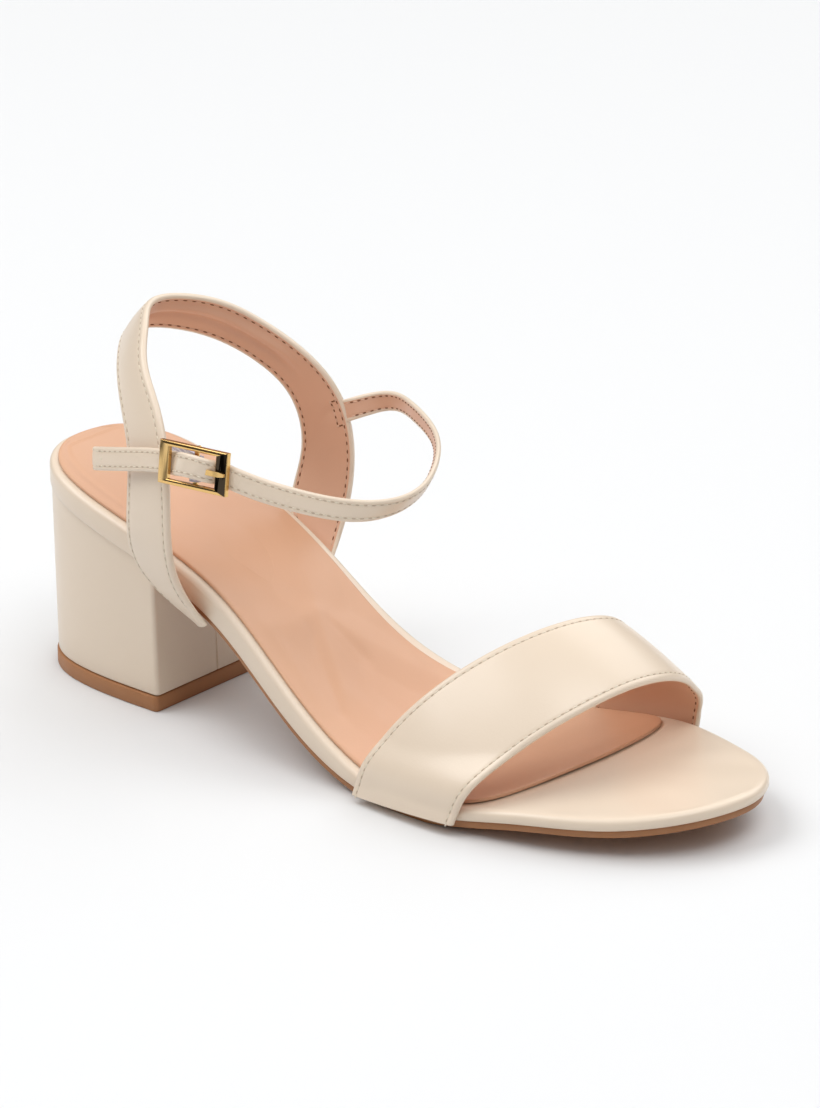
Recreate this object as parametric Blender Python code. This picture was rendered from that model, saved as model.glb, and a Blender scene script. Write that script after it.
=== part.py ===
"""Block heel sandal, right shoe, standing empty on its sole.

The toe points along +X, the wearer's left (medial) side is +Y, and the floor is z = 0.
Driving dimensions are in millimetres; MM turns them into metres when a mesh is made.
The origin ends up under the middle of the shoe's bounding box.
"""
import math

import bmesh
import bpy
import numpy as np
from mathutils import Matrix, Vector

MM = 0.001
SEAT_GAP = 0.3          # left between two pieces that touch
SHARP_DEGREES = 40.0    # edges that turn more than this are shaded as creases
CURVE_POWER = 0.8       # how strongly long spans stretch a spline's knots
CUTTER_DEPTH = 6.0

# Plan of the footbed at its widest, from the heel's back to the toe's tip: (x, y)
HEEL_BACK = (-5.6, 0.5)
TOE_TIP = (234.0, 20.5)
LATERAL_EDGE = [
    (-4.3, -11.8), (2.6, -21.1), (13.7, -26.0), (40.0, -27.6), (71.0, -26.9), (103.5, -29.9),
    (136.5, -31.4), (166.5, -30.4), (192.0, -24.1), (214.5, -12.5), (230.0, 4.9),
]
MEDIAL_EDGE = [
    (-1.8, 14.0), (7.5, 22.2), (19.1, 25.3), (46.0, 25.2), (75.0, 22.4), (91.0, 22.2),
    (105.0, 25.1), (125.0, 36.2), (144.0, 48.3), (159.5, 53.0), (175.0, 54.1), (205.0, 48.2),
    (218.5, 42.4), (229.2, 32.6),
]
STATIONS = 44           # cross sections along the footbed
STATION_GAP = 2.0       # no station lies nearer than this to an added one
OUTLINE_SAMPLES = 4000

# Side profile of the footbed's upper face: (x, height)
TOP_PROFILE = [
    (-8.0, 67.8), (25.0, 60.0), (50.0, 53.2), (80.0, 40.6), (110.0, 20.4), (135.0, 8.0),
    (160.0, 7.2), (185.0, 11.2), (210.0, 12.9), (238.0, 17.1),
]
SEAT_THICKNESS = 8.0    # footbed under the heel and the arch
TOE_THICKNESS = 4.2     # footbed under the toes
THINNING_X = 125.0      # where the footbed's thickness is halfway between the two
THINNING_LENGTH = 25.0
TOP_ROUNDING = [(2.4, 0.0), (1.3, 0.25), (0.5, 0.85), (0.0, 1.8)]   # (inset, depth)
FOOT_ROUNDING = [(0.0, 1.3), (0.25, 0.5), (0.9, 0.0)]               # (inset, height)

OUTSOLE_INSET = 1.3
OUTSOLE_THICKNESS = 2.1
OUTSOLE_EDGE = 0.35
BREAST_EXTRA_GAP = 0.1

SOCK_THICKNESS = 1.0
SOCK_DROP = 0.5         # the footbed's face lies this far under TOP_PROFILE, the sock over it
SOCK_INSET_LATERAL = 2.6
SOCK_INSET_MEDIAL = 3.4
SOCK_WAIST = (108.0, 20.0, 1.4)     # middle, length and size of the wider medial margin
SOCK_BACK = (-6.0, 12.0)            # the wider margin begins over this stretch of x
SOCK_EDGE_INSET = 0.35
SOCK_EDGE_SHARE = 0.7               # share of the thickness below the rounded edge
SOCK_LAST_STATION = 160.0
SOCK_FRONT = [          # outer edge ahead of the last station: (lateral point, medial point)
    ((166.7, -26.9), (171.5, 50.4)), ((170.8, -25.0), (176.8, 49.3)),
    ((174.6, -20.6), (180.4, 44.6)), ((177.2, -13.0), (181.8, 37.0)),
    ((179.0, -3.0), (182.0, 28.0)), ((180.3, 7.0), (181.7, 20.0)),
]
SOCK_FRONT_TIP = (181.1, 13.5)

HEEL_BREAST = 49.9      # x of the heel's flat front face
HEEL_CORNER = 1.4       # radius of the breast's upright edges
HEEL_CORNER_STEPS = 4
HEEL_CORNER_GAP = 1.0
HEEL_PLAN_REACH = 12.0  # the plan is followed this far past the breast, then cut back
HEEL_LEVELS = (0.35, 0.7, 1.0)
HEEL_TOP_INSET = 1.3
HEEL_FOOT_INSET = 0.75
TOP_PIECE_INSET = 0.3
TOP_PIECE_HEIGHT = 4.8
TOP_PIECE_CHAMFER = 0.5
TOP_PIECE_UPPER_EDGE = 0.3
HEEL_CHAMFER = 0.6
HEEL_LEAN = 1.3         # the block's upper end lies this far behind its foot

STRAP_WALL = 1.8        # folded synthetic leather with its lining
STRAP_EXTRA_GAP = 0.08  # added to the seat gap where a strap leans away from the sole
ROOT_TUCK = 0.5         # a strap's root is drawn in this far below the footbed's rim
ROOT_PUSH = (1.0, 14.0)     # over this rise above the footbed the push on a strap fades out

# Toe strap: two arches over the forefoot. Roots are (x, y, z) at the sole's two sides
TOE_REAR = dict(lateral=(132.9, -33.0, 2.4), medial=(156.8, 53.9, 3.4), height=45.8,
                power=2.06, lean=0.25, skew=0.12, bow=11.7, flare=(-7.5, -2.9, 0.0))
TOE_FRONT = dict(lateral=(169.6, -31.9, 3.9), medial=(186.4, 54.6, 8.0), height=30.5,
                 power=1.79, lean=0.19, skew=0.10, bow=10.2, flare=(0.0, 0.0, 0.0))
FLARE_POWER = 4         # how low on the medial side the strap widens towards its root
TOE_STRAP_CROWN = 1.0
TOE_STEPS_AROUND = 40
TOE_STEPS_ACROSS = 6

# Heel band, half of it: upper front edge and lower rear edge from the root to the back
BAND_WALL = 2.0
BAND_FRONT_EDGE = [
    (72.1, 25.3, 33.2), (68.8, 35.7, 49.9), (68.8, 38.5, 69.6), (65.5, 35.3, 87.1),
    (56.7, 29.8, 99.2), (45.9, 23.3, 107.7), (36.8, 13.3, 114.4), (28.6, 0.0, 116.5),
]
BAND_REAR_EDGE = [
    (69.0, 24.4, 31.9), (49.6, 31.7, 48.2), (49.9, 36.3, 63.4), (48.1, 33.3, 82.0),
    (41.4, 28.3, 91.1), (33.8, 22.3, 97.2), (25.3, 13.6, 101.9), (18.3, 0.0, 104.2),
]
BAND_LATERAL_SHIFT = 1.0    # the lateral root stands on the wider side of the waist
BAND_MEDIAL_SHIFT = 3.0     # the medial root is drawn in to the arch
BAND_CROWN = 0.6
BAND_CURVE_POWER = 0.7
BAND_STEPS_ALONG = 72
BAND_STEPS_ACROSS = 4

# Ankle strap: middle line from the band's medial leg round the ankle, through the buckle
# to the free tail. Each row is (x, y, z) and the half-width direction there
LATERAL_HALF_Y = -20.0  # the ankle strap lies beyond this on its lateral side
ANKLE_WALL = 1.5
ANKLE_HALF_WIDTH = 3.4
ANKLE_ROUND = [
    ((61.0, 36.1, 77.6), (-0.2, -0.2, 1.0)), ((67.9, 37.0, 80.6), (-0.2, -0.1, 1.0)),
    ((77.4, 42.4, 84.3), (0.0, -0.3, 1.0)), ((93.3, 37.3, 86.6), (0.1, -0.3, 1.0)),
    ((112.6, 25.0, 86.9), (0.2, -0.25, 1.0)), ((127.3, 7.5, 86.0), (0.5, 0.0, 1.0)),
    ((133.7, -10.2, 84.3), (0.6, 0.1, 1.0)), ((129.4, -22.6, 84.0), (0.4, 0.2, 1.0)),
    ((112.5, -31.5, 85.1), (0.15, 0.2, 1.0)), ((98.5, -35.6, 87.0), (0.0, 0.2, 1.0)),
]
THREADING = [           # through the buckle's own frame: (along, up, away from the leg)
    (10.6, -0.9, -2.1), (8.3, -0.6, -2.0), (5.2, -0.2, 1.4), (2.6, 0.0, 2.5),
    (0.0, 0.0, 2.6), (-2.6, -0.1, 2.2), (-5.4, -0.3, 0.4), (-8.3, -0.5, -2.0),
    (-10.6, -0.6, -2.1),
]
ANKLE_TAIL = [
    ((62.0, -38.9, 86.4), (0.0, 0.25, 1.0)), ((52.0, -38.7, 83.9), (0.0, 0.25, 1.0)),
    ((38.8, -37.8, 80.4), (0.0, 0.22, 1.0)),
]
ANKLE_STEPS_ALONG = 110
HOLE_RADIUS = 0.95
HOLE_SIDES = 12
HOLE_PLACES = [109.5, 101.5, 94.3, 67.2, 57.8]      # x of the punched holes, front to back
PRONG_SLOT = (85.9, 2.6, 1.3)   # middle, half length and half height of the prong's slot

# Buckle: a flat frame with a middle bar, in a plane that leans with the ankle
BUCKLE_REAR = (70.4, -41.3, 88.9)       # middle of the rear bar
BUCKLE_FRONT = (91.2, -39.1, 89.7)      # middle of the front bar
BUCKLE_UP = (0.12, 0.2, 0.97)
BUCKLE_HEIGHT = 12.4
BUCKLE_THICKNESS = 1.9
BUCKLE_REAR_BAR = 3.4
BUCKLE_FRONT_BAR = 2.9
BUCKLE_RAIL = 1.5
BUCKLE_EDGE = 0.4
BUCKLE_EDGE_STEPS = 2
MIDDLE_BAR_SIDES = 16
MIDDLE_BAR_RADIUS = 0.75
MIDDLE_BAR_DEPTH = 1.1      # the middle bar lies nearer to the leg than the frame's middle
EAR_LENGTH = 2.6            # the ears that carry the middle bar behind the rails
EAR_WIDTH = 1.1
EAR_DEPTH = 2.4
PRONG_WIDTH = 1.5
PRONG_WALL = 0.75
PRONG_LOOP_STEPS = 12
PRONG_LOOP = (318.0, 90.0)  # degrees round the middle bar; 0 is forwards, 90 outwards
PRONG_SHAFT = [(3.0, 0.95), (5.6, 1.75), (8.2, 1.8)]    # (along, away from the leg)
PRONG_OVERHANG = 1.3        # how far the prong's tip reaches past the front bar's middle
PRONG_TIP_LENGTH = 2.0
PRONG_TIP_TAPER = 0.6

KEEPER_WIDTH = 7.0
KEEPER_WALL = 0.9
KEEPER_NOTCH = 3.0          # the notch in the elastic loop that lets the prong turn
KEEPER_NOTCH_REACH = 3.0
KEEPER_LEG = [(56.0, -32.0, 85.2), (62.0, -32.6, 86.6), (67.8, -33.6, 87.6), (73.5, -36.2, 88.3)]
KEEPER_LOOP_STEPS = 10
KEEPER_LOOP = (-90.0, 120.0)
KEEPER_DROP = 0.4           # the elastic sits a little below the middle of the bar


def spline(knots, values):
    """Natural cubic spline through values at the rising knots, as a function."""
    knots = np.asarray(knots, float)
    values = np.asarray(values, float)
    flat = values.reshape(len(knots), -1)
    step = np.diff(knots)
    count = len(knots)
    system = np.eye(count)
    right = np.zeros_like(flat)
    for row in range(1, count - 1):
        system[row, row - 1] = step[row - 1]
        system[row, row] = 2 * (step[row - 1] + step[row])
        system[row, row + 1] = step[row]
        rise = (flat[row + 1] - flat[row]) / step[row] - (flat[row] - flat[row - 1]) / step[row - 1]
        right[row] = 6 * rise
    bend = np.linalg.solve(system, right)

    def curve(place):
        place = np.atleast_1d(np.asarray(place, float))
        span = np.clip(np.searchsorted(knots, place) - 1, 0, count - 2)
        width = step[span][:, None]
        after = (place - knots[span])[:, None]
        before = width - after
        result = (bend[span] * before ** 3 + bend[span + 1] * after ** 3) / (6 * width)
        result = result + (flat[span] / width - bend[span] * width / 6) * before
        result = result + (flat[span + 1] / width - bend[span + 1] * width / 6) * after
        return result.reshape((len(place),) + values.shape[1:])

    return curve


def chord_knots(points, power):
    """Rising knots from the distances between points, from 0 to 1."""
    lengths = np.linalg.norm(np.diff(np.asarray(points, float), axis=0), axis=1) ** power
    knots = np.concatenate([[0.0], np.cumsum(lengths)])
    return knots / knots[-1]


def smooth_step(value, start, end):
    share = np.clip((value - start) / (end - start), 0.0, 1.0)
    return share * share * (3 - 2 * share)


top_height_curve = spline([x for x, z in TOP_PROFILE], [z for x, z in TOP_PROFILE])


def top_height(x):
    return top_height_curve(np.ravel(x)).reshape(np.shape(x))


def slope_factor(x):
    """Length along the profile per millimetre of x, which stretches upright thicknesses."""
    half_step = 1.0
    slope = (top_height(x + half_step) - top_height(x - half_step)) / (2 * half_step)
    return np.sqrt(1 + slope ** 2)


def footbed_thickness(x):
    front_share = 0.5 + 0.5 * np.tanh((x - THINNING_X) / THINNING_LENGTH)
    thickness = SEAT_THICKNESS + (TOE_THICKNESS - SEAT_THICKNESS) * front_share
    return thickness * slope_factor(x)


def footbed_underside(x):
    return top_height(x) - footbed_thickness(x)


def outline_curve():
    """The closed plan as two functions of x, for the lateral and the medial side."""
    loop = [HEEL_BACK] + LATERAL_EDGE + [TOE_TIP] + MEDIAL_EDGE[::-1] + [HEEL_BACK]
    knots = chord_knots(loop, CURVE_POWER)
    overlap = 4             # points repeated past the seam, which make the spline periodic
    before = [(knots[i] - 1.0, loop[i]) for i in range(-1 - overlap, -1)]
    after = [(knots[i] + 1.0, loop[i]) for i in range(1, 1 + overlap)]
    rows = before + list(zip(knots, loop)) + after
    around = spline([row[0] for row in rows], [row[1] for row in rows])
    samples = around(np.linspace(0.0, 1.0, OUTLINE_SAMPLES + 1)[:-1])
    heel = int(np.argmin(samples[:, 0]))
    samples = np.roll(samples, -heel, axis=0)
    toe = int(np.argmax(samples[:, 0]))
    lateral = samples[:toe + 1]
    medial = np.vstack([samples[toe:], samples[:1]])[::-1]
    return lateral, medial


LATERAL_LINE, MEDIAL_LINE = outline_curve()


def side_y(line, x):
    return np.interp(x, line[:, 0], line[:, 1])


def plan_rows(count, last_x=None):
    """Lateral and medial plan points at stations that crowd where the plan is round."""
    first_x = LATERAL_LINE[0, 0]
    toe_x = LATERAL_LINE[-1, 0]
    turn = np.linspace(0.0, math.pi, count + 1)
    x = first_x + (toe_x - first_x) * (1 - np.cos(turn)) / 2
    if last_x is not None:
        x = x[x < last_x - STATION_GAP]
        x = np.append(x, last_x)
    lateral = np.column_stack([x, side_y(LATERAL_LINE, x)])
    medial = np.column_stack([x, side_y(MEDIAL_LINE, x)])
    return lateral, medial


def inset_rows(lateral, medial, inset_lateral, inset_medial, closed_front):
    """Move both sides of a plan inwards along their own normals."""
    if closed_front:
        loop = np.vstack([lateral, medial[::-1][1:-1]])
        inset = np.concatenate([np.broadcast_to(inset_lateral, len(lateral)),
                                np.broadcast_to(inset_medial, len(medial))[::-1][1:-1]])
    else:
        loop = np.vstack([lateral, medial[::-1][:-1]])
        inset = np.concatenate([np.broadcast_to(inset_lateral, len(lateral)),
                                np.broadcast_to(inset_medial, len(medial))[::-1][:-1]])
    ahead = np.roll(loop, -1, axis=0) - loop
    behind = loop - np.roll(loop, 1, axis=0)
    ahead /= np.linalg.norm(ahead, axis=1)[:, None]
    behind /= np.linalg.norm(behind, axis=1)[:, None]
    if not closed_front:
        last = len(lateral) - 1
        ahead[last] = behind[last]
        behind[last + 1] = ahead[last + 1]
    along = ahead + behind
    along /= np.linalg.norm(along, axis=1)[:, None]
    inward = np.column_stack([-along[:, 1], along[:, 0]])
    moved = loop + inward * inset[:, None]
    count = len(lateral)
    moved_lateral = moved[:count]
    rest = moved[count:]
    if closed_front:
        moved_medial = np.vstack([moved[:1], rest[::-1], moved[count - 1:count]])
    else:
        moved_medial = np.vstack([moved[:1], rest[::-1]])
    return moved_lateral, moved_medial


def material(name, color, roughness, metallic=0.0):
    made = bpy.data.materials.new(name)
    made.use_nodes = True
    shader = made.node_tree.nodes["Principled BSDF"]
    shader.inputs["Base Color"].default_value = (*color, 1.0)
    shader.inputs["Roughness"].default_value = roughness
    shader.inputs["Metallic"].default_value = metallic
    made.diffuse_color = (*color, 1.0)
    return made


CREAM_LEATHER = material("cream_leather", (0.81, 0.70, 0.58), 0.38)
BLUSH_LINING = material("blush_lining", (0.80, 0.48, 0.34), 0.55)
TAN_RUBBER = material("tan_rubber", (0.38, 0.17, 0.08), 0.55)
GOLD_METAL = material("gold_metal", (0.80, 0.55, 0.25), 0.22, 1.0)
WHITE_ELASTIC = material("white_elastic", (0.74, 0.72, 0.74), 0.85)


def mesh_object(name, points, faces, finish, sharp_degrees=SHARP_DEGREES):
    """A named object from points in millimetres, with every face turned outwards."""
    mesh = bpy.data.meshes.new(name)
    mesh.from_pydata([tuple(float(value) * MM for value in point) for point in points], [], faces)
    shaped = bmesh.new()
    shaped.from_mesh(mesh)
    bmesh.ops.recalc_face_normals(shaped, faces=shaped.faces)
    if shaped.calc_volume(signed=True) < 0:
        bmesh.ops.reverse_faces(shaped, faces=shaped.faces)
    shaped.to_mesh(mesh)
    shaped.free()
    mesh.shade_smooth()
    mesh.set_sharp_from_angle(angle=math.radians(sharp_degrees))
    mesh.materials.append(finish)
    made = bpy.data.objects.new(name, mesh)
    bpy.context.collection.objects.link(made)
    return made


def layered_solid(name, rings, closed_front, finish):
    """A solid from closed rings, lowest first; each ring is (lateral rows, medial rows)."""
    points = []
    loops = []
    rows = []
    for lateral, medial in rings:
        start = len(points)
        count = len(lateral)
        lateral_ids = [start + i for i in range(count)]
        points.extend(lateral)
        inner = medial[1:-1] if closed_front else medial[1:]
        points.extend(inner)
        medial_ids = [start] + [start + count + i for i in range(len(inner))]
        if closed_front:
            medial_ids.append(lateral_ids[-1])
            loops.append(lateral_ids + medial_ids[1:-1][::-1])
        else:
            loops.append(lateral_ids + medial_ids[1:][::-1])
        rows.append((lateral_ids, medial_ids))
    faces = []
    for lower, upper in zip(loops, loops[1:]):
        for i in range(len(lower)):
            j = (i + 1) % len(lower)
            faces.append((lower[i], lower[j], upper[j], upper[i]))
    for cap, flipped in ((rows[0], True), (rows[-1], False)):
        lateral_ids, medial_ids = cap
        for i in range(len(lateral_ids) - 1):
            corners = [lateral_ids[i], lateral_ids[i + 1], medial_ids[i + 1], medial_ids[i]]
            face = list(dict.fromkeys(corners))
            faces.append(tuple(face[::-1] if flipped else face))
    return mesh_object(name, points, faces, finish)


def with_height(rows, height):
    """Give plan rows their heights, from a function of x."""
    return [np.column_stack([side, height(side[:, 0])]) for side in rows]


def sheet_solid(name, grid, wall, finish, sharp_degrees=SHARP_DEGREES):
    """A wall of even thickness on a grid of points that runs through its middle."""
    along = np.gradient(grid, axis=0)
    across = np.gradient(grid, axis=1)
    normal = np.cross(along, across)
    normal /= np.linalg.norm(normal, axis=2)[:, :, None]
    front = grid + normal * wall / 2
    back = grid - normal * wall / 2
    rows, columns = grid.shape[:2]
    points = np.vstack([front.reshape(-1, 3), back.reshape(-1, 3)])
    offset = rows * columns
    faces = []
    for i in range(rows - 1):
        for j in range(columns - 1):
            a = i * columns + j
            quad = (a, a + 1, a + columns + 1, a + columns)
            faces.append(quad)
            faces.append(tuple(offset + corner for corner in quad[::-1]))
    border = [j for j in range(columns)]
    border += [i * columns + columns - 1 for i in range(1, rows)]
    border += [(rows - 1) * columns + j for j in range(columns - 2, -1, -1)]
    border += [i * columns for i in range(rows - 2, 0, -1)]
    for a, b in zip(border, border[1:] + border[:1]):
        faces.append((b, a, offset + a, offset + b))
    return mesh_object(name, points, faces, finish, sharp_degrees)


def keep_result(target):
    """Replace an object's mesh by what its modifiers make of it."""
    bpy.context.view_layer.update()
    evaluated = target.evaluated_get(bpy.context.evaluated_depsgraph_get())
    result = bpy.data.meshes.new_from_object(evaluated)
    target.modifiers.clear()
    target.data = result
    result.shade_smooth()
    result.set_sharp_from_angle(angle=math.radians(SHARP_DEGREES))


def combine(target, other, operation):
    """Add another solid to the target or take it away, then remove the other."""
    boolean = target.modifiers.new(operation.lower(), "BOOLEAN")
    boolean.operation = operation
    boolean.solver = "EXACT"
    boolean.object = other
    keep_result(target)
    bpy.data.objects.remove(other)


def join_solids(target, other):
    combine(target, other, "UNION")


def apply_cut(target, cutter):
    combine(target, cutter, "DIFFERENCE")


def make_footbed():
    plan = plan_rows(STATIONS)
    rings = []
    for inset, height in FOOT_ROUNDING[::-1]:
        moved = inset_rows(*plan, inset, inset, True)
        rings.append(with_height(moved, lambda x: footbed_underside(x) + height))
    for inset, depth in TOP_ROUNDING[::-1]:
        moved = inset_rows(*plan, inset, inset, True)
        rings.append(with_height(moved, lambda x: top_height(x) - SOCK_DROP - depth))
    return layered_solid("footbed", rings, True, CREAM_LEATHER)


def sock_rows(extra_inset):
    """Plan of the sock: the footbed's plan moved in, then its own front edge."""
    lateral, medial = plan_rows(STATIONS, SOCK_LAST_STATION)
    middle, length, size = SOCK_WAIST
    margin = SOCK_INSET_MEDIAL + size * np.exp(-((medial[:, 0] - middle) / length) ** 2)
    lateral_inset = np.full(len(lateral), SOCK_INSET_LATERAL)
    back_share = smooth_step(medial[:, 0], *SOCK_BACK)
    medial_inset = SOCK_INSET_LATERAL + (margin - SOCK_INSET_LATERAL) * back_share
    lateral, medial = inset_rows(lateral, medial, lateral_inset, medial_inset, False)
    front_lateral = np.array([pair[0] for pair in SOCK_FRONT])
    front_medial = np.array([pair[1] for pair in SOCK_FRONT])
    lateral = np.vstack([lateral, front_lateral, [SOCK_FRONT_TIP]])
    medial = np.vstack([medial, front_medial, [SOCK_FRONT_TIP]])
    return inset_rows(lateral, medial, extra_inset, extra_inset, True)


def make_sock():
    bottom = -SOCK_DROP + SEAT_GAP
    rings = [
        with_height(sock_rows(0.0), lambda x: top_height(x) + bottom),
        with_height(sock_rows(0.0), lambda x: top_height(x) + bottom + SOCK_EDGE_SHARE * SOCK_THICKNESS),
        with_height(sock_rows(SOCK_EDGE_INSET), lambda x: top_height(x) + bottom + SOCK_THICKNESS),
    ]
    return layered_solid("sock", rings, True, BLUSH_LINING)


def make_outsole():
    """The thin walking sole, from the heel's breast to the toe, flat where it stands."""
    start = HEEL_BREAST - HEEL_LEAN + SEAT_GAP + BREAST_EXTRA_GAP
    lateral, medial = plan_rows(STATIONS)
    lateral, medial = inset_rows(lateral, medial, OUTSOLE_INSET, OUTSOLE_INSET, True)
    keep = lateral[:, 0] > start + STATION_GAP
    lateral_start = [start, np.interp(start, lateral[:, 0], lateral[:, 1])]
    medial_start = [start, np.interp(start, medial[:, 0], medial[:, 1])]
    middle_start = [start, (lateral_start[1] + medial_start[1]) / 2]
    lateral = np.vstack([[middle_start], [lateral_start], lateral[keep]])
    medial = np.vstack([[middle_start], [medial_start], medial[keep]])

    def upper_face(x):
        return footbed_underside(x) - SEAT_GAP

    def lower_face(x):
        return np.maximum(upper_face(x) - OUTSOLE_THICKNESS * slope_factor(x), 0.0)

    edge = []
    for side, turn in ((lateral, 1.0), (medial, -1.0)):
        along = np.gradient(side[1:], axis=0)
        along /= np.linalg.norm(along, axis=1)[:, None]
        inward = np.column_stack([-along[:, 1], along[:, 0]]) * turn
        moved = side.copy()
        moved[1:] += inward * OUTSOLE_EDGE
        moved[1, 0] = start
        moved[-1] = side[-1] - [OUTSOLE_EDGE, 0.0]
        edge.append(moved)
    rings = [
        with_height(edge, lower_face),
        with_height((lateral, medial), lambda x: lower_face(x) + OUTSOLE_EDGE),
        with_height((lateral, medial), upper_face),
    ]
    return layered_solid("outsole", rings, True, TAN_RUBBER)


def heel_rows(inset, breast):
    """D-shaped plan of the heel with rounded upright edges at its breast."""
    lateral, medial = plan_rows(STATIONS, breast + HEEL_PLAN_REACH)
    lateral, medial = inset_rows(lateral, medial, inset, inset, False)
    sides = []
    for side, turn in ((lateral, 1.0), (medial, -1.0)):
        kept = side[side[:, 0] < breast - HEEL_CORNER - HEEL_CORNER_GAP]
        end_x = breast - HEEL_CORNER
        end_y = np.interp(end_x, side[:, 0], side[:, 1])
        corner = [(end_x + HEEL_CORNER * math.sin(angle),
                   end_y + turn * HEEL_CORNER * (1 - math.cos(angle)))
                  for angle in np.linspace(0.0, math.pi / 2, HEEL_CORNER_STEPS + 1)]
        sides.append(np.vstack([kept, corner]))
    return sides


def make_heel_block():
    """The wrapped upright block between the footbed and the top piece."""
    foot = TOP_PIECE_HEIGHT + SEAT_GAP
    rings = [
        with_height(heel_rows(HEEL_FOOT_INSET + HEEL_CHAMFER, HEEL_BREAST - HEEL_CHAMFER),
                    lambda x: np.full_like(x, foot)),
        with_height(heel_rows(HEEL_FOOT_INSET, HEEL_BREAST),
                    lambda x: np.full_like(x, foot + HEEL_CHAMFER)),
    ]
    for share in HEEL_LEVELS:
        inset = HEEL_FOOT_INSET + (HEEL_TOP_INSET - HEEL_FOOT_INSET) * share
        leaning = [side - [HEEL_LEAN * share, 0.0] for side in heel_rows(inset, HEEL_BREAST)]
        rings.append(with_height(
            leaning, lambda x: foot + (footbed_underside(x) - SEAT_GAP - foot) * share))
    return layered_solid("heel_block", rings, False, CREAM_LEATHER)


def make_top_piece():
    """The tan wear pad under the heel."""
    levels = [(TOP_PIECE_CHAMFER, 0.0), (0.0, TOP_PIECE_CHAMFER),
              (0.0, TOP_PIECE_HEIGHT - TOP_PIECE_UPPER_EDGE),
              (TOP_PIECE_UPPER_EDGE, TOP_PIECE_HEIGHT)]
    rings = []
    for inset, height in levels:
        rows = heel_rows(TOP_PIECE_INSET + inset, HEEL_BREAST - inset)
        rings.append(with_height(rows, lambda x: np.full_like(x, height)))
    return layered_solid("heel_top_piece", rings, False, TAN_RUBBER)


def arch(shape, turn):
    """One edge of the toe strap: a squared arch from the lateral to the medial root."""
    lateral = np.array(shape["lateral"])
    medial = np.array(shape["medial"])
    middle = (lateral + medial) / 2
    half = (medial - lateral) / 2
    exponent = 2 / shape["power"]
    across = np.sign(np.cos(turn)) * np.abs(np.cos(turn)) ** exponent
    rise = shape["height"] * np.abs(np.sin(turn)) ** exponent
    lift = np.array([shape["lean"], shape["skew"], 1.0])
    forward = np.array([shape["bow"], 0.0, 0.0])
    flare = np.clip(-np.cos(turn), 0.0, 1.0) ** FLARE_POWER
    return (middle[None, :] - across[:, None] * half[None, :]
            + rise[:, None] * lift[None, :] + (np.sin(turn) ** 2)[:, None] * forward[None, :]
            + flare[:, None] * np.array(shape["flare"])[None, :])


def clear_of_sole(grid, wall):
    """Push the lowest rows of a strap out until its lining clears the sole's side."""
    x, y, z = grid[..., 0], grid[..., 1], grid[..., 2]
    underside = footbed_underside(x)
    rim_edge = smooth_step(z, underside - ROOT_TUCK, underside + FOOT_ROUNDING[0][1])
    drawn_in = OUTSOLE_INSET * (1 - rim_edge)
    need = SEAT_GAP + STRAP_EXTRA_GAP + wall / 2 - drawn_in
    first, last = ROOT_PUSH
    low = 1 - smooth_step(z, top_height(x) + first, top_height(x) + last)
    lateral_limit = side_y(LATERAL_LINE, x) - need
    medial_limit = side_y(MEDIAL_LINE, x) + need
    on_lateral = y < (lateral_limit + medial_limit) / 2
    pushed = np.where(on_lateral, np.minimum(y, lateral_limit), np.maximum(y, medial_limit))
    grid[..., 1] = y + (pushed - y) * low
    return grid


def make_toe_strap():
    turn = np.linspace(0.0, math.pi, TOE_STEPS_AROUND + 1)
    rear = arch(TOE_REAR, turn)
    front = arch(TOE_FRONT, turn)
    share = np.linspace(0.0, 1.0, TOE_STEPS_ACROSS + 1)
    grid = rear[:, None, :] * (1 - share)[None, :, None] + front[:, None, :] * share[None, :, None]
    grid[..., 2] += TOE_STRAP_CROWN * (4 * share * (1 - share))[None, :] * np.sin(turn)[:, None]
    grid = clear_of_sole(grid, STRAP_WALL)
    return sheet_solid("toe_strap", grid, STRAP_WALL, CREAM_LEATHER)


def band_edge(half):
    """The whole edge of the heel band from its lateral root to its medial root."""
    half = np.array(half)
    mirrored = half * [1.0, -1.0, 1.0]
    loop = np.vstack([mirrored, half[::-1][1:]])
    loop[0, 1] -= BAND_LATERAL_SHIFT
    loop[-1, 1] -= BAND_MEDIAL_SHIFT
    return spline(chord_knots(loop, BAND_CURVE_POWER), loop)


def make_heel_band():
    share = np.linspace(0.0, 1.0, BAND_STEPS_ALONG + 1)
    front = band_edge(BAND_FRONT_EDGE)(share)
    rear = band_edge(BAND_REAR_EDGE)(share)
    across = np.linspace(0.0, 1.0, BAND_STEPS_ACROSS + 1)
    grid = front[:, None, :] * (1 - across)[None, :, None] + rear[:, None, :] * across[None, :, None]
    along = np.gradient(grid, axis=0)
    outward = np.cross(along, np.gradient(grid, axis=1))
    outward /= np.linalg.norm(outward, axis=2)[:, :, None]
    middle = np.mean(grid.reshape(-1, 3), axis=0)
    if np.sum(outward * (grid - middle)) < 0:
        outward = -outward
    crown = BAND_CROWN * (4 * across * (1 - across))[None, :, None]
    grid = grid + outward * crown
    grid = clear_of_sole(grid, BAND_WALL)
    return sheet_solid("heel_strap", grid, BAND_WALL, CREAM_LEATHER)


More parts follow.
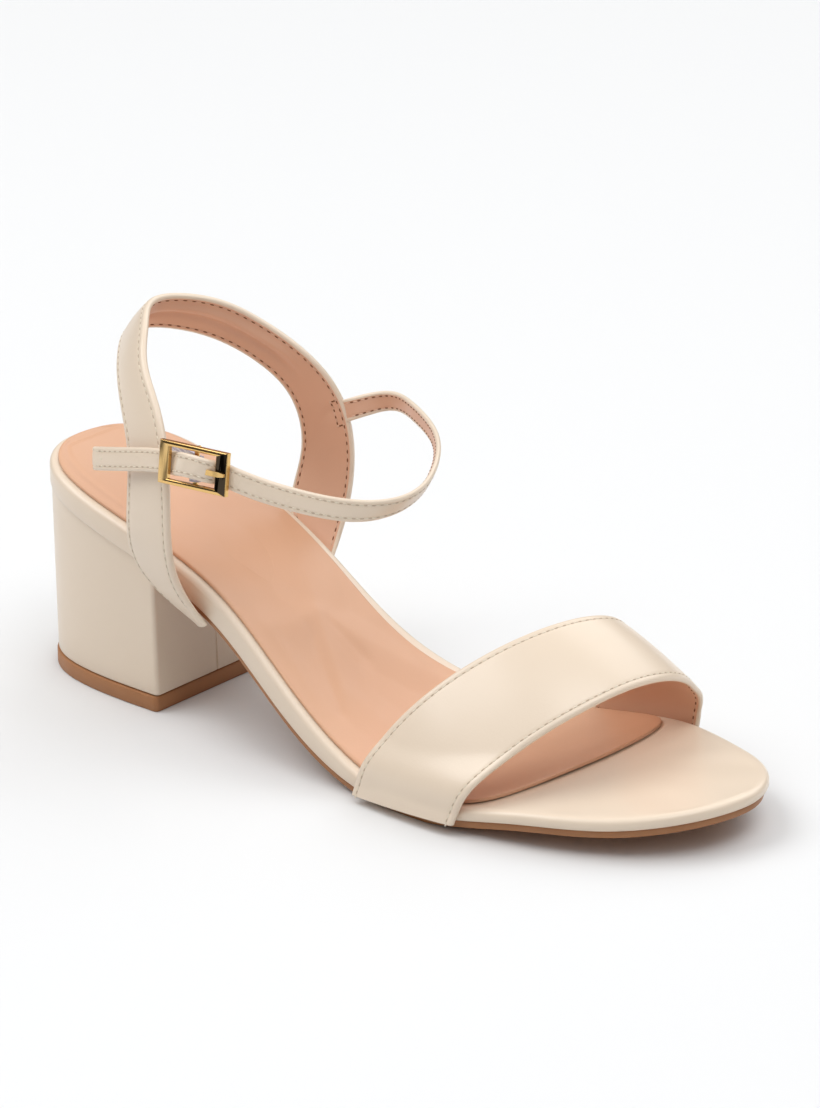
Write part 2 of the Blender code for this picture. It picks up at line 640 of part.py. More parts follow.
def ankle_line(samples):
    """Middle points and half-width vectors along the ankle strap."""
    up = Vector(BUCKLE_UP)
    threaded = [(buckle_point(*row), up) for row in THREADING]
    rows = ANKLE_ROUND + threaded + ANKLE_TAIL
    middle = np.array([tuple(row[0]) for row in rows])
    direction = np.array([tuple(row[1]) for row in rows])
    knots = chord_knots(middle, CURVE_POWER)
    share = np.linspace(0.0, 1.0, samples)
    centre = spline(knots, middle)(share)
    side = spline(knots, direction)(share)
    along = np.gradient(centre, axis=0)
    along /= np.linalg.norm(along, axis=1)[:, None]
    side -= along * np.sum(side * along, axis=1)[:, None]
    side *= (ANKLE_HALF_WIDTH / np.linalg.norm(side, axis=1))[:, None]
    return centre, side, along


def make_ankle_strap():
    centre, side, along = ankle_line(ANKLE_STEPS_ALONG + 1)
    grid = np.stack([centre + side, centre, centre - side], axis=1)
    strap = sheet_solid("ankle_strap", grid, ANKLE_WALL, CREAM_LEATHER)
    lateral_half = centre[:, 1] < LATERAL_HALF_Y
    for number, place in enumerate(HOLE_PLACES):
        nearest = np.argmin(np.where(lateral_half, np.abs(centre[:, 0] - place), np.inf))
        through = np.cross(side[nearest], along[nearest])
        hole = round_cutter("hole_%d" % number, centre[nearest], through, HOLE_RADIUS)
        apply_cut(strap, hole)
    middle, half_length, half_height = PRONG_SLOT
    nearest = np.argmin(np.where(lateral_half, np.abs(centre[:, 0] - middle), np.inf))
    slot = box_cutter("prong_slot", centre[nearest], along[nearest], side[nearest],
                      half_length, half_height)
    apply_cut(strap, slot)
    return strap


def frame_matrix(centre, first, second):
    """Rotation and place with first along X and second nearly along Y."""
    x_axis = Vector(first).normalized()
    z_axis = x_axis.cross(Vector(second)).normalized()
    y_axis = z_axis.cross(x_axis)
    turn = Matrix((x_axis, y_axis, z_axis)).transposed()
    return Matrix.Translation(Vector([float(value) * MM for value in centre])) @ turn.to_4x4()


def round_cutter(name, centre, axis, radius):
    bpy.ops.mesh.primitive_cylinder_add(vertices=HOLE_SIDES, radius=radius * MM,
                                        depth=CUTTER_DEPTH * MM)
    cutter = bpy.context.object
    cutter.name = name
    turn = Vector(axis).to_track_quat("Z", "Y").to_matrix().to_4x4()
    cutter.matrix_world = Matrix.Translation(Vector([float(v) * MM for v in centre])) @ turn
    return cutter


def box_cutter(name, centre, first, second, half_length, half_height):
    bpy.ops.mesh.primitive_cube_add(size=1.0)
    cutter = bpy.context.object
    cutter.name = name
    size = Matrix.Diagonal((2 * half_length * MM, 2 * half_height * MM, CUTTER_DEPTH * MM, 1.0))
    cutter.data.transform(size)
    cutter.matrix_world = frame_matrix(centre, first, second)
    return cutter


def buckle_place():
    """The buckle's frame: X towards the front bar, Y up, Z away from the leg."""
    centre = (np.array(BUCKLE_REAR) + np.array(BUCKLE_FRONT)) / 2
    along = np.array(BUCKLE_FRONT) - np.array(BUCKLE_REAR)
    return frame_matrix(centre, along, BUCKLE_UP)


def buckle_point(along, up, away):
    """A point of the buckle's frame in millimetres of the shoe's frame."""
    place = buckle_place()
    return place @ (Vector((along, up, away)) * MM) / MM


def bar_distance():
    """From the middle of the rear bar to the middle of the front bar."""
    return float(np.linalg.norm(np.array(BUCKLE_FRONT) - np.array(BUCKLE_REAR)))


def make_buckle_frame():
    """The gold rectangle with its middle bar between two ears."""
    length = bar_distance()
    rear_end = -length / 2 - BUCKLE_REAR_BAR / 2
    front_end = length / 2 + BUCKLE_FRONT_BAR / 2
    outer_y = BUCKLE_HEIGHT / 2
    inner_y = outer_y - BUCKLE_RAIL
    rear_inner = rear_end + BUCKLE_REAR_BAR
    front_inner = front_end - BUCKLE_FRONT_BAR
    outer = [(rear_end, -outer_y), (front_end, -outer_y), (front_end, outer_y), (rear_end, outer_y)]
    inner = [(rear_inner, -inner_y), (front_inner, -inner_y), (front_inner, inner_y),
             (rear_inner, inner_y)]
    half = BUCKLE_THICKNESS / 2
    points = []
    for loop in (outer, inner):
        for depth in (-half, half):
            points.extend([(x, y, depth) for x, y in loop])
    faces = []
    for i in range(4):
        j = (i + 1) % 4
        faces.append((i, j, 4 + j, 4 + i))
        faces.append((8 + j, 8 + i, 12 + i, 12 + j))
        faces.append((j, i, 8 + i, 8 + j))
        faces.append((4 + i, 4 + j, 12 + j, 12 + i))
    frame = mesh_object("buckle_frame", points, faces, GOLD_METAL, 35.0)
    bevel = frame.modifiers.new("soft_edges", "BEVEL")
    bevel.width = BUCKLE_EDGE * MM
    bevel.segments = BUCKLE_EDGE_STEPS
    bevel.limit_method = "ANGLE"
    keep_result(frame)
    for side in (-1.0, 1.0):
        bpy.ops.mesh.primitive_cube_add(size=1.0)
        ear = bpy.context.object
        ear.name = "ear"
        ear.data.transform(Matrix.Diagonal((EAR_LENGTH * MM, EAR_WIDTH * MM, EAR_DEPTH * MM, 1.0)))
        middle = (0.0, side * (outer_y - BUCKLE_RAIL / 2) * MM, -MIDDLE_BAR_DEPTH * MM)
        ear.data.transform(Matrix.Translation(middle))
        join_solids(frame, ear)
    bpy.ops.mesh.primitive_cylinder_add(vertices=MIDDLE_BAR_SIDES, radius=MIDDLE_BAR_RADIUS * MM,
                                        depth=(2 * inner_y + EAR_WIDTH) * MM)
    bar = bpy.context.object
    bar.name = "middle_bar"
    bar.data.transform(Matrix.Rotation(math.pi / 2, 4, "X"))
    bar.data.transform(Matrix.Translation((0.0, 0.0, -MIDDLE_BAR_DEPTH * MM)))
    join_solids(frame, bar)
    frame.data.transform(buckle_place())
    return frame


def bar_ring(radius, first_degrees, last_degrees, steps):
    """Points round the middle bar as (along, away); 0 degrees is forwards, 90 outwards."""
    turn = np.radians(np.linspace(first_degrees, last_degrees, steps))
    return [(radius * math.cos(t), radius * math.sin(t) - MIDDLE_BAR_DEPTH) for t in turn]


def make_prong():
    """The prong: a loop round the middle bar and a shaft that rests on the front bar."""
    loop_radius = MIDDLE_BAR_RADIUS + SEAT_GAP + PRONG_WALL / 2
    rest = BUCKLE_THICKNESS / 2 + SEAT_GAP + PRONG_WALL / 2
    tip = bar_distance() / 2 + PRONG_OVERHANG
    route = bar_ring(loop_radius, *PRONG_LOOP, PRONG_LOOP_STEPS)
    route += PRONG_SHAFT
    route += [(tip - PRONG_TIP_LENGTH, rest), (tip, rest)]
    grid = np.zeros((len(route), 3, 3))
    for row, (along, away) in enumerate(route):
        width = PRONG_WIDTH * (PRONG_TIP_TAPER if row == len(route) - 1 else 1.0)
        for column, share in enumerate((-0.5, 0.0, 0.5)):
            grid[row, column] = buckle_point(along, share * width, away)
    return sheet_solid("buckle_prong", grid, PRONG_WALL, GOLD_METAL, 50.0)


def make_keeper():
    """The elastic from the band's lining to the middle bar, looped round it."""
    loop_radius = MIDDLE_BAR_RADIUS + SEAT_GAP + KEEPER_WALL / 2
    half_up = (buckle_point(0.0, 1.0, 0.0) - buckle_point(0.0, 0.0, 0.0)) * KEEPER_WIDTH / 2
    ring = bar_ring(loop_radius, *KEEPER_LOOP, KEEPER_LOOP_STEPS)
    route = [Vector(point) for point in KEEPER_LEG]
    route += [buckle_point(along, -KEEPER_DROP, away) for along, away in ring]
    grid = np.array([[tuple(point - half_up), tuple(point), tuple(point + half_up)]
                     for point in route])
    keeper = sheet_solid("buckle_keeper", grid, KEEPER_WALL, WHITE_ELASTIC)
    middle = buckle_point(0.0, 0.0, -MIDDLE_BAR_DEPTH)
    along = buckle_point(1.0, 0.0, 0.0) - buckle_point(0.0, 0.0, 0.0)
    notch = box_cutter("notch", middle, along, half_up, KEEPER_NOTCH_REACH, KEEPER_NOTCH / 2)
    apply_cut(keeper, notch)
    return keeper


def move_origin_under_middle():
    """Shift every mesh so that the box's bottom centre is the world's origin."""
    low = np.array([np.inf] * 3)
    high = -low
    objects = [item for item in bpy.data.objects if item.type == "MESH"]
    for item in objects:
        for vertex in item.data.vertices:
            low = np.minimum(low, vertex.co)
            high = np.maximum(high, vertex.co)
    shift = Vector((-(low[0] + high[0]) / 2, -(low[1] + high[1]) / 2, -low[2]))
    for item in objects:
        item.data.transform(Matrix.Translation(shift))
    print("origin shift in mm", [round(value / MM, 3) for value in shift])
    print("size in mm", [round(float(value) / MM, 2) for value in high - low])


def main():
    make_outsole()
    make_heel_block()
    make_top_piece()
    make_footbed()
    make_sock()
    make_toe_strap()
    band = make_heel_band()
    join_solids(band, make_ankle_strap())
    make_buckle_frame()
    make_prong()
    make_keeper()
    move_origin_under_middle()


for old in list(bpy.data.objects):
    bpy.data.objects.remove(old)
main()
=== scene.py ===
import math

import bmesh
import bpy
import numpy as np
from mathutils import Matrix, Vector


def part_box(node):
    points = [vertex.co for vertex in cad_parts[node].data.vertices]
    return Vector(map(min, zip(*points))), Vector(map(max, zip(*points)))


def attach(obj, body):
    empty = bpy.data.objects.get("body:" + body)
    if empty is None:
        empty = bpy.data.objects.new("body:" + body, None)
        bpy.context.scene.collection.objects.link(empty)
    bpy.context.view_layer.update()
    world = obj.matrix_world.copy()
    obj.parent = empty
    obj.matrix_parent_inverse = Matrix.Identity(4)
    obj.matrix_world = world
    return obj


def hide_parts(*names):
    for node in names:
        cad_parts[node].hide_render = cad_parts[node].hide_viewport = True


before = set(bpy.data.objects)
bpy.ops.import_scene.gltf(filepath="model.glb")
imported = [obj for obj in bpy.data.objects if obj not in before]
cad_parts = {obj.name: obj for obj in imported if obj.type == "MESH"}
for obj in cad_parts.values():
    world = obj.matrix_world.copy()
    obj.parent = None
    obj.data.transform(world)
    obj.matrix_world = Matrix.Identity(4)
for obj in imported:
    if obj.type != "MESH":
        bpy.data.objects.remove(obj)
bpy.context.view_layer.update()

# Camera: a long lens at the photograph's angle, turned to the one shoe and drawn in on it.
# Places are in the shoe's drawing frame, in millimetres: x from the heel to the toe,
# y to the medial side, z up from the floor.
MM = 0.001
DRAWN_CORNER = (-5.74, -31.47)      # the footbed's rearmost x and most lateral y, as drawn
footbed_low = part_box("footbed")[0]
SHIFT = np.append(np.subtract(footbed_low[:2], np.multiply(DRAWN_CORNER, MM)), 0.0)


def to_metres(points):
    return np.asarray(points, float) * MM + SHIFT


PHOTO_HEIGHT = 1108
PHOTO_CENTRE = (410.0, 554.0)
SHOE_CENTRE = (349.0, 715.0)        # middle of the shoe in the photograph, in its pixels
CLOSER = 1.4097                     # how much larger the one shoe is drawn
FOCAL_PIXELS = 3521.6
CAMERA_AZIMUTH = math.radians(40.965)
CAMERA_ELEVATION = math.radians(20.256)
CAMERA_PLACE = (987.1, -955.6, 605.5)
SENSOR_HEIGHT = 36.0

right = Vector((math.cos(CAMERA_AZIMUTH), math.sin(CAMERA_AZIMUTH), 0.0))
backwards = Vector((math.sin(CAMERA_AZIMUTH) * math.cos(CAMERA_ELEVATION),
                    -math.cos(CAMERA_AZIMUTH) * math.cos(CAMERA_ELEVATION),
                    math.sin(CAMERA_ELEVATION)))
upwards = backwards.cross(right)
to_shoe = (-backwards * FOCAL_PIXELS + right * (SHOE_CENTRE[0] - PHOTO_CENTRE[0])
           - upwards * (SHOE_CENTRE[1] - PHOTO_CENTRE[1]))
turn = (-backwards).rotation_difference(to_shoe.normalized())
facing = Matrix((right, upwards, backwards)).transposed()
camera = bpy.data.cameras.new("camera")
camera.sensor_fit = "VERTICAL"
camera.sensor_height = SENSOR_HEIGHT
camera.lens = SENSOR_HEIGHT * CLOSER * to_shoe.length / PHOTO_HEIGHT
camera.clip_start = 0.05
camera.clip_end = 30.0
camera_object = bpy.data.objects.new("camera", camera)
camera_object.matrix_world = (Matrix.Translation(Vector(to_metres(CAMERA_PLACE)))
                              @ turn.to_matrix().to_4x4() @ facing.to_4x4())
bpy.context.collection.objects.link(camera_object)
bpy.context.scene.camera = camera_object


# Floor and light: a pale table top under a pale ceiling that dims towards the walls, with
# three large soft boxes: from the heel's side, from a window behind, and from overhead.
def fill(made, values):
    for name, value in values.items():
        made.inputs[name].default_value = value


def node(tree, kind, values=None, **settings):
    """A node with its settings, and with values for its free inputs."""
    made = tree.nodes.new(kind)
    for name, value in settings.items():
        setattr(made, name, value)
    fill(made, values or {})
    return made


def link(source, output, target, entry):
    source.id_data.links.new(source.outputs[output], target.inputs[entry])


def plain_material(name, color, roughness, metallic=0.0):
    made = bpy.data.materials.new(name)
    made.use_nodes = True
    fill(made.node_tree.nodes["Principled BSDF"],
         {"Base Color": (*color, 1.0), "Roughness": roughness, "Metallic": metallic})
    return made


FLOOR_HALF = 3.0
LIGHTS_AIM = Vector((0.0, 0.0, 0.04))
CEILING_BY_HEIGHT = {"From Min": 0.12, "From Max": 0.75, "To Min": 0.05, "To Max": 0.72}
floor_mesh = bpy.data.meshes.new("floor")
floor_mesh.from_pydata([(-FLOOR_HALF, -FLOOR_HALF, 0.0), (FLOOR_HALF, -FLOOR_HALF, 0.0),
                        (FLOOR_HALF, FLOOR_HALF, 0.0), (-FLOOR_HALF, FLOOR_HALF, 0.0)],
                       [], [(0, 1, 2, 3)])
floor_mesh.materials.append(plain_material("pale_floor", (0.76, 0.765, 0.77), 0.9))
floor = bpy.data.objects.new("floor", floor_mesh)
bpy.context.collection.objects.link(floor)

world = bpy.data.worlds.new("room")
world.use_nodes = True
room = world.node_tree
room.nodes.clear()
looking = node(room, "ShaderNodeTexCoord")
parts = node(room, "ShaderNodeSeparateXYZ")
dimming = node(room, "ShaderNodeMapRange", CEILING_BY_HEIGHT, interpolation_type="SMOOTHSTEP")
ceiling = node(room, "ShaderNodeBackground", {"Color": (1.0, 1.0, 1.0, 1.0)})
sweep = node(room, "ShaderNodeBackground", {"Color": (0.93, 0.93, 0.93, 1.0)})
ray = node(room, "ShaderNodeLightPath")
seen = node(room, "ShaderNodeMixShader")
room_end = node(room, "ShaderNodeOutputWorld")
link(looking, "Generated", parts, "Vector")
link(parts, "Z", dimming, "Value")
link(dimming, "Result", ceiling, "Strength")
link(ray, "Is Camera Ray", seen, "Fac")
link(ceiling, "Background", seen, 1)
link(sweep, "Background", seen, 2)
link(seen, "Shader", room_end, "Surface")
bpy.context.scene.world = world
bpy.context.scene.view_settings.view_transform = "Standard"


def soft_box(name, direction, distance, width, height, power):
    """An area light that looks at the shoe's middle from a direction."""
    lamp = bpy.data.lights.new(name, "AREA")
    lamp.shape = "RECTANGLE"
    lamp.size = width
    lamp.size_y = height
    lamp.energy = power
    made = bpy.data.objects.new(name, lamp)
    towards = Vector(direction).normalized()
    made.location = towards * distance + LIGHTS_AIM
    made.rotation_euler = towards.to_track_quat("Z", "Y").to_euler()
    bpy.context.collection.objects.link(made)


soft_box("heel_side_box", (-0.50, -0.42, 0.95), 2.2, 1.7, 1.4, 23.0)
soft_box("window_box", (0.05, 0.85, 0.85), 2.4, 2.8, 1.8, 20.0)
soft_box("overhead_box", (0.45, -0.12, 1.0), 2.2, 1.2, 1.0, 12.0)


# Finishes: smooth coated cream leather, blush lining, tan rubber. The leather is a
# synthetic nappa, rolled smooth, with a faint pore and slow changes of tone from the roll.
def make_grain_group():
    """Fine pore height and two slow tone masks from a position in metres."""
    group = bpy.data.node_groups.new("leather_grain", "ShaderNodeTree")
    for name, way, kind in (("Position", "INPUT", "Vector"), ("Pore Scale", "INPUT", "Float"),
                            ("Height", "OUTPUT", "Float"), ("Tone", "OUTPUT", "Float"),
                            ("Handling", "OUTPUT", "Float")):
        group.interface.new_socket(name, in_out=way, socket_type="NodeSocket" + kind)
    start = node(group, "NodeGroupInput")
    end = node(group, "NodeGroupOutput")
    pores = node(group, "ShaderNodeTexVoronoi", {"Smoothness": 0.6}, feature="SMOOTH_F1")
    rolls = node(group, "ShaderNodeTexNoise", {"Scale": 320.0, "Detail": 3.0})
    both = node(group, "ShaderNodeMath", {1: 0.6}, operation="MULTIPLY_ADD")
    tone = node(group, "ShaderNodeTexNoise", {"Scale": 45.0, "Detail": 2.0})
    handling = node(group, "ShaderNodeTexNoise", {"Scale": 110.0, "Detail": 4.0, "Distortion": 0.6})
    for texture in (pores, rolls, tone, handling):
        link(start, "Position", texture, "Vector")
    link(start, "Pore Scale", pores, "Scale")
    link(rolls, "Fac", both, 0)
    link(pores, "Distance", both, 2)
    link(both, 0, end, "Height")
    link(tone, "Fac", end, "Tone")
    link(handling, "Fac", end, "Handling")
    return group


GRAIN = make_grain_group()


def leather(name, light, dark, rough_low, rough_high, pore_scale, pore_depth, coat, coat_rough):
    """A grained finish: two tones, roughness that varies with handling, and pores."""
    made = plain_material(name, light, rough_low)
    tree = made.node_tree
    shader = tree.nodes["Principled BSDF"]
    place = node(tree, "ShaderNodeTexCoord")
    grain = node(tree, "ShaderNodeGroup", {"Pore Scale": pore_scale}, node_tree=GRAIN)
    tones = node(tree, "ShaderNodeMix", {"A": (*dark, 1.0), "B": (*light, 1.0)}, data_type="RGBA")
    rough = node(tree, "ShaderNodeMapRange", {"From Min": 0.3, "From Max": 0.7,
                                              "To Min": rough_low, "To Max": rough_high})
    bump = node(tree, "ShaderNodeBump", {"Strength": 0.35, "Distance": pore_depth})
    link(place, "Object", grain, "Position")
    link(grain, "Tone", tones, "Factor")
    link(tones, "Result", shader, "Base Color")
    link(grain, "Handling", rough, "Value")
    link(rough, "Result", shader, "Roughness")
    link(grain, "Height", bump, "Height")
    link(bump, "Normal", shader, "Normal")
    fill(shader, {"Coat Weight": coat, "Coat Roughness": coat_rough})
    return made


CREAM = leather("cream_leather", (0.80, 0.668, 0.53), (0.775, 0.64, 0.50), 0.32, 0.40,
                1500.0, 0.00004, 0.30, 0.21)
BLUSH = leather("blush_lining", (0.765, 0.465, 0.32), (0.72, 0.42, 0.28), 0.40, 0.50,
                1200.0, 0.00006, 0.1, 0.3)
INSOLE = leather("blush_insole", (0.71, 0.405, 0.25), (0.65, 0.36, 0.215), 0.36, 0.46,
                 1200.0, 0.00005, 0.12, 0.24)
TAN = leather("tan_rubber", (0.43, 0.19, 0.075), (0.34, 0.145, 0.055), 0.45, 0.6,
              900.0, 0.00006, 0.0, 0.3)


# Outsole: a thin tan rubber sheet cemented under the footbed, from the heel's breast to
# the toe. Its rim is trimmed a little inside the footbed and it lies flat under the ball.
def spline(knots, values):
    """Natural cubic spline through values at the rising knots, as a function."""
    knots = np.asarray(knots, float)
    values = np.asarray(values, float)
    flat = values.reshape(len(knots), -1)
    step = np.diff(knots)
    slope = np.diff(flat, axis=0) / step[:, None]
    count = len(knots)
    system = np.eye(count)
    for row in range(1, count - 1):
        system[row, row - 1:row + 2] = step[row - 1], 2 * (step[row - 1] + step[row]), step[row]
    target = np.zeros_like(flat)
    target[1:-1] = 6 * np.diff(slope, axis=0)
    bend = np.linalg.solve(system, target)

    def curve(place):
        place = np.atleast_1d(np.asarray(place, float))
        span = np.clip(np.searchsorted(knots, place) - 1, 0, count - 2)
        width = step[span][:, None]
        after = (place - knots[span])[:, None]
        before = width - after
        result = (bend[span] * before ** 3 + bend[span + 1] * after ** 3) / (6 * width)
        result = result + (flat[span] / width - bend[span] * width / 6) * before
        result = result + (flat[span + 1] / width - bend[span + 1] * width / 6) * after
        return result.reshape((len(place),) + values.shape[1:])

    return curve


def chord_knots(points, power):
    lengths = np.linalg.norm(np.diff(np.asarray(points, float), axis=0), axis=1) ** power
    knots = np.concatenate([[0.0], np.cumsum(lengths)])
    return knots / knots[-1]


def hump(value, middle, half_width):
    return np.exp(-((value - middle) / half_width) ** 2)


def smooth_step(value, start, end):
    share = np.clip((value - start) / (end - start), 0.0, 1.0)
    return share * share * (3 - 2 * share)


def window(value, start, full, fading, end):
    return smooth_step(value, start, full) * (1 - smooth_step(value, fading, end))


SEAT_GAP = 0.3
HEEL_BACK = (-5.6, 0.5)
TOE_TIP = (234.0, 20.5)
LATERAL_EDGE = [
    (-4.3, -11.8), (2.6, -21.1), (13.7, -26.0), (40.0, -27.6), (71.0, -26.9), (103.5, -29.9),
    (136.5, -31.4), (166.5, -30.4), (192.0, -24.1), (214.5, -12.5), (230.0, 4.9),
]
MEDIAL_EDGE = [
    (-1.8, 14.0), (7.5, 22.2), (19.1, 25.3), (46.0, 25.2), (75.0, 22.4), (91.0, 22.2),
    (105.0, 25.1), (125.0, 36.2), (144.0, 48.3), (159.5, 53.0), (175.0, 54.1), (205.0, 48.2),
    (218.5, 42.4), (229.2, 32.6),
]
TOP_PROFILE = [
    (-8.0, 67.8), (25.0, 60.0), (50.0, 53.2), (80.0, 40.6), (110.0, 20.4), (135.0, 8.0),
    (160.0, 7.2), (185.0, 11.2), (210.0, 12.9), (238.0, 17.1),
]
SEAT_THICKNESS = 8.0
TOE_THICKNESS = 4.2
THINNING_X = 125.0
THINNING_LENGTH = 25.0
STATIONS = 130
OUTLINE_SAMPLES = 8000
OUTLINE_POWER = 0.8     # how the curve's knots follow the spacing of its points
LAPPED_POINTS = 4       # taken from the far end of the loop, so that it closes smoothly

profile_curve = spline([x for x, z in TOP_PROFILE], [z for x, z in TOP_PROFILE])


def top_height(x):
    return profile_curve(np.ravel(x)).reshape(np.shape(x))


def slope_factor(x):
    return np.sqrt(1 + ((top_height(x + 1.0) - top_height(x - 1.0)) / 2) ** 2)


def footbed_underside(x):
    front = 0.5 + 0.5 * np.tanh((x - THINNING_X) / THINNING_LENGTH)
    thickness = SEAT_THICKNESS + (TOE_THICKNESS - SEAT_THICKNESS) * front
    return top_height(x) - thickness * slope_factor(x)


def outline_curve():
    """The closed plan, split into its lateral and its medial side."""
    loop = [HEEL_BACK] + LATERAL_EDGE + [TOE_TIP] + MEDIAL_EDGE[::-1] + [HEEL_BACK]
    knots = chord_knots(loop, OUTLINE_POWER)
    before = [(knots[i] - 1.0, loop[i]) for i in range(-1 - LAPPED_POINTS, -1)]
    after = [(knots[i] + 1.0, loop[i]) for i in range(1, 1 + LAPPED_POINTS)]
    closed = spline(*zip(*before, *zip(knots, loop), *after))
    samples = closed(np.linspace(0, 1, OUTLINE_SAMPLES + 1)[:-1])
    samples = np.roll(samples, -int(np.argmin(samples[:, 0])), axis=0)
    toe = int(np.argmax(samples[:, 0]))
    return samples[:toe + 1], np.vstack([samples[toe:], samples[:1]])[::-1]


LATERAL_LINE, MEDIAL_LINE = outline_curve()


def side_y(line, x):
    return np.interp(x, line[:, 0], line[:, 1])


def plan_rows(count, last_x=None):
    first_x = LATERAL_LINE[0, 0]
    toe_x = LATERAL_LINE[-1, 0]
    x = first_x + (toe_x - first_x) * (1 - np.cos(np.linspace(0.0, math.pi, count + 1))) / 2
    if last_x is not None:
        x = np.append(x[x < last_x - 1.0], last_x)
    return [np.column_stack([x, side_y(line, x)]) for line in (LATERAL_LINE, MEDIAL_LINE)]


def inset_rows(sides, insets, closed_front):
    """Move both sides of a plan inwards along their own normals, by one or by two insets."""
    lateral, medial = sides
    inset_lateral, inset_medial = insets if isinstance(insets, tuple) else (insets, insets)
    drop = slice(1, -1) if closed_front else slice(None, -1)
    loop = np.vstack([lateral, medial[::-1][drop]])
    inset = np.concatenate([np.broadcast_to(inset_lateral, len(lateral)),
                            np.broadcast_to(inset_medial, len(medial))[::-1][drop]])
    ahead = np.roll(loop, -1, axis=0) - loop
    behind = loop - np.roll(loop, 1, axis=0)
    ahead /= np.linalg.norm(ahead, axis=1)[:, None]
    behind /= np.linalg.norm(behind, axis=1)[:, None]
    count = len(lateral)
    if not closed_front:
        ahead[count - 1] = behind[count - 1]
        behind[count] = ahead[count]
    along = ahead + behind
    along /= np.linalg.norm(along, axis=1)[:, None]
    moved = loop + np.column_stack([-along[:, 1], along[:, 0]]) * inset[:, None]
    ending = [moved[count - 1:count]] if closed_front else []
    return moved[:count], np.vstack([moved[:1], moved[count:][::-1]] + ending)


def finished_object(name, points, faces, finishes, face_slots=None, sharp=40.0):
    """A piece from drawing points: faces turned outwards, shaded smooth, riding the body."""
    mesh = bpy.data.meshes.new(name)
    mesh.from_pydata(to_metres(points).tolist(), [], faces)
    for finish in finishes:
        mesh.materials.append(finish)
    if face_slots is not None:
        mesh.polygons.foreach_set("material_index", face_slots)
    shaped = bmesh.new()
    shaped.from_mesh(mesh)
    bmesh.ops.recalc_face_normals(shaped, faces=shaped.faces)
    if shaped.calc_volume(signed=True) < 0:
        bmesh.ops.reverse_faces(shaped, faces=shaped.faces)
    shaped.to_mesh(mesh)
    shaped.free()
    mesh.shade_smooth()
    mesh.set_sharp_from_angle(angle=math.radians(sharp))
    made = bpy.data.objects.new(name, mesh)
    bpy.context.collection.objects.link(made)
    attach(made, "root")
    return made


def ring_faces(lower, upper):
    """Four-sided faces between two closed rings of equally many points."""
    following = [*range(1, len(lower)), 0]
    return [(lower[i], lower[j], upper[j], upper[i]) for i, j in enumerate(following)]


def stacked_solid(name, rings, closed_front, finish, columns=1, cap_height=None):
    """A solid from closed rings, lowest first; the last ring is closed by a shaped face."""
    points = []
    loops = []
    rows = []
    for lateral, medial in rings:
        start = len(points)
        count = len(lateral)
        points.extend(lateral)
        inner = medial[1:-1] if closed_front else medial[1:]
        points.extend(inner)
        lateral_ids = list(range(start, start + count))
        medial_ids = [start, *range(start + count, start + count + len(inner))]
        loops.append(lateral_ids + medial_ids[1:][::-1])
        if closed_front:
            medial_ids.append(lateral_ids[-1])
        rows.append((lateral_ids, medial_ids))
    faces = []
    for lower, upper in zip(loops, loops[1:]):
        faces.extend(ring_faces(lower, upper))
    for (lateral_ids, medial_ids), shaped in ((rows[0], False), (rows[-1], True)):
        across = columns if shaped and cap_height is not None else 1
        cross_rows = []
        for a, b in zip(lateral_ids, medial_ids):
            if a == b:
                cross_rows.append([a] * (across + 1))
                continue
            ids = [a]
            for step in range(1, across):
                share = step / across
                spot = np.array(points[a]) * (1 - share) + np.array(points[b]) * share
                spot[2] = cap_height(spot[0], spot[1], share)
                ids.append(len(points))
                points.append(spot)
            cross_rows.append(ids + [b])
        for one, two in zip(cross_rows, cross_rows[1:]):
            for step in range(across):
                corners = [one[step], two[step], two[step + 1], one[step + 1]]
                face = tuple(dict.fromkeys(corners))
                if len(face) > 2:
                    faces.append(face if shaped else face[::-1])
    return finished_object(name, points, faces, [finish])


def with_height(rows, height):
    return [np.column_stack([side, height(side[:, 0])]) for side in rows]


def edge_rings(face, edge, rows):
    """A ring for each pair of an edge table: its inset, and its height over a face."""
    return [with_height(rows(inset), lambda x: face(x) + rise) for inset, rise in edge]


HEEL_BREAST = 49.9
HEEL_LEAN = 1.3         # the heel's upper end lies this far behind its foot
OUTSOLE_INSET = 1.3
OUTSOLE_THICKNESS = 2.1
OUTSOLE_START = HEEL_BREAST - HEEL_LEAN + SEAT_GAP + 0.1
OUTSOLE_LOWER_EDGE = [(0.45, 0.0), (0.1, 0.2), (0.0, 0.5)]
OUTSOLE_UPPER_EDGE = [(0.0, -0.3), (0.12, 0.0)]
ROW_CLEARANCE = 0.7


def outsole_rows(extra):
    sides = inset_rows(plan_rows(STATIONS), OUTSOLE_INSET + extra, True)
    first = [[OUTSOLE_START, np.interp(OUTSOLE_START, side[:, 0], side[:, 1])] for side in sides]
    middle = [[OUTSOLE_START, (first[0][1] + first[1][1]) / 2]]
    return [np.vstack([middle, [edge], side[side[:, 0] > OUTSOLE_START + ROW_CLEARANCE]])
            for edge, side in zip(first, sides)]


def outsole_top(x):
    return footbed_underside(x) - SEAT_GAP


def outsole_bottom(x):
    return np.maximum(outsole_top(x) - OUTSOLE_THICKNESS * slope_factor(x), 0.0)


outsole = stacked_solid("outsole_sheet",
                        edge_rings(outsole_bottom, OUTSOLE_LOWER_EDGE, outsole_rows)
                        + edge_rings(outsole_top, OUTSOLE_UPPER_EDGE, outsole_rows), True, TAN)
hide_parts("outsole")


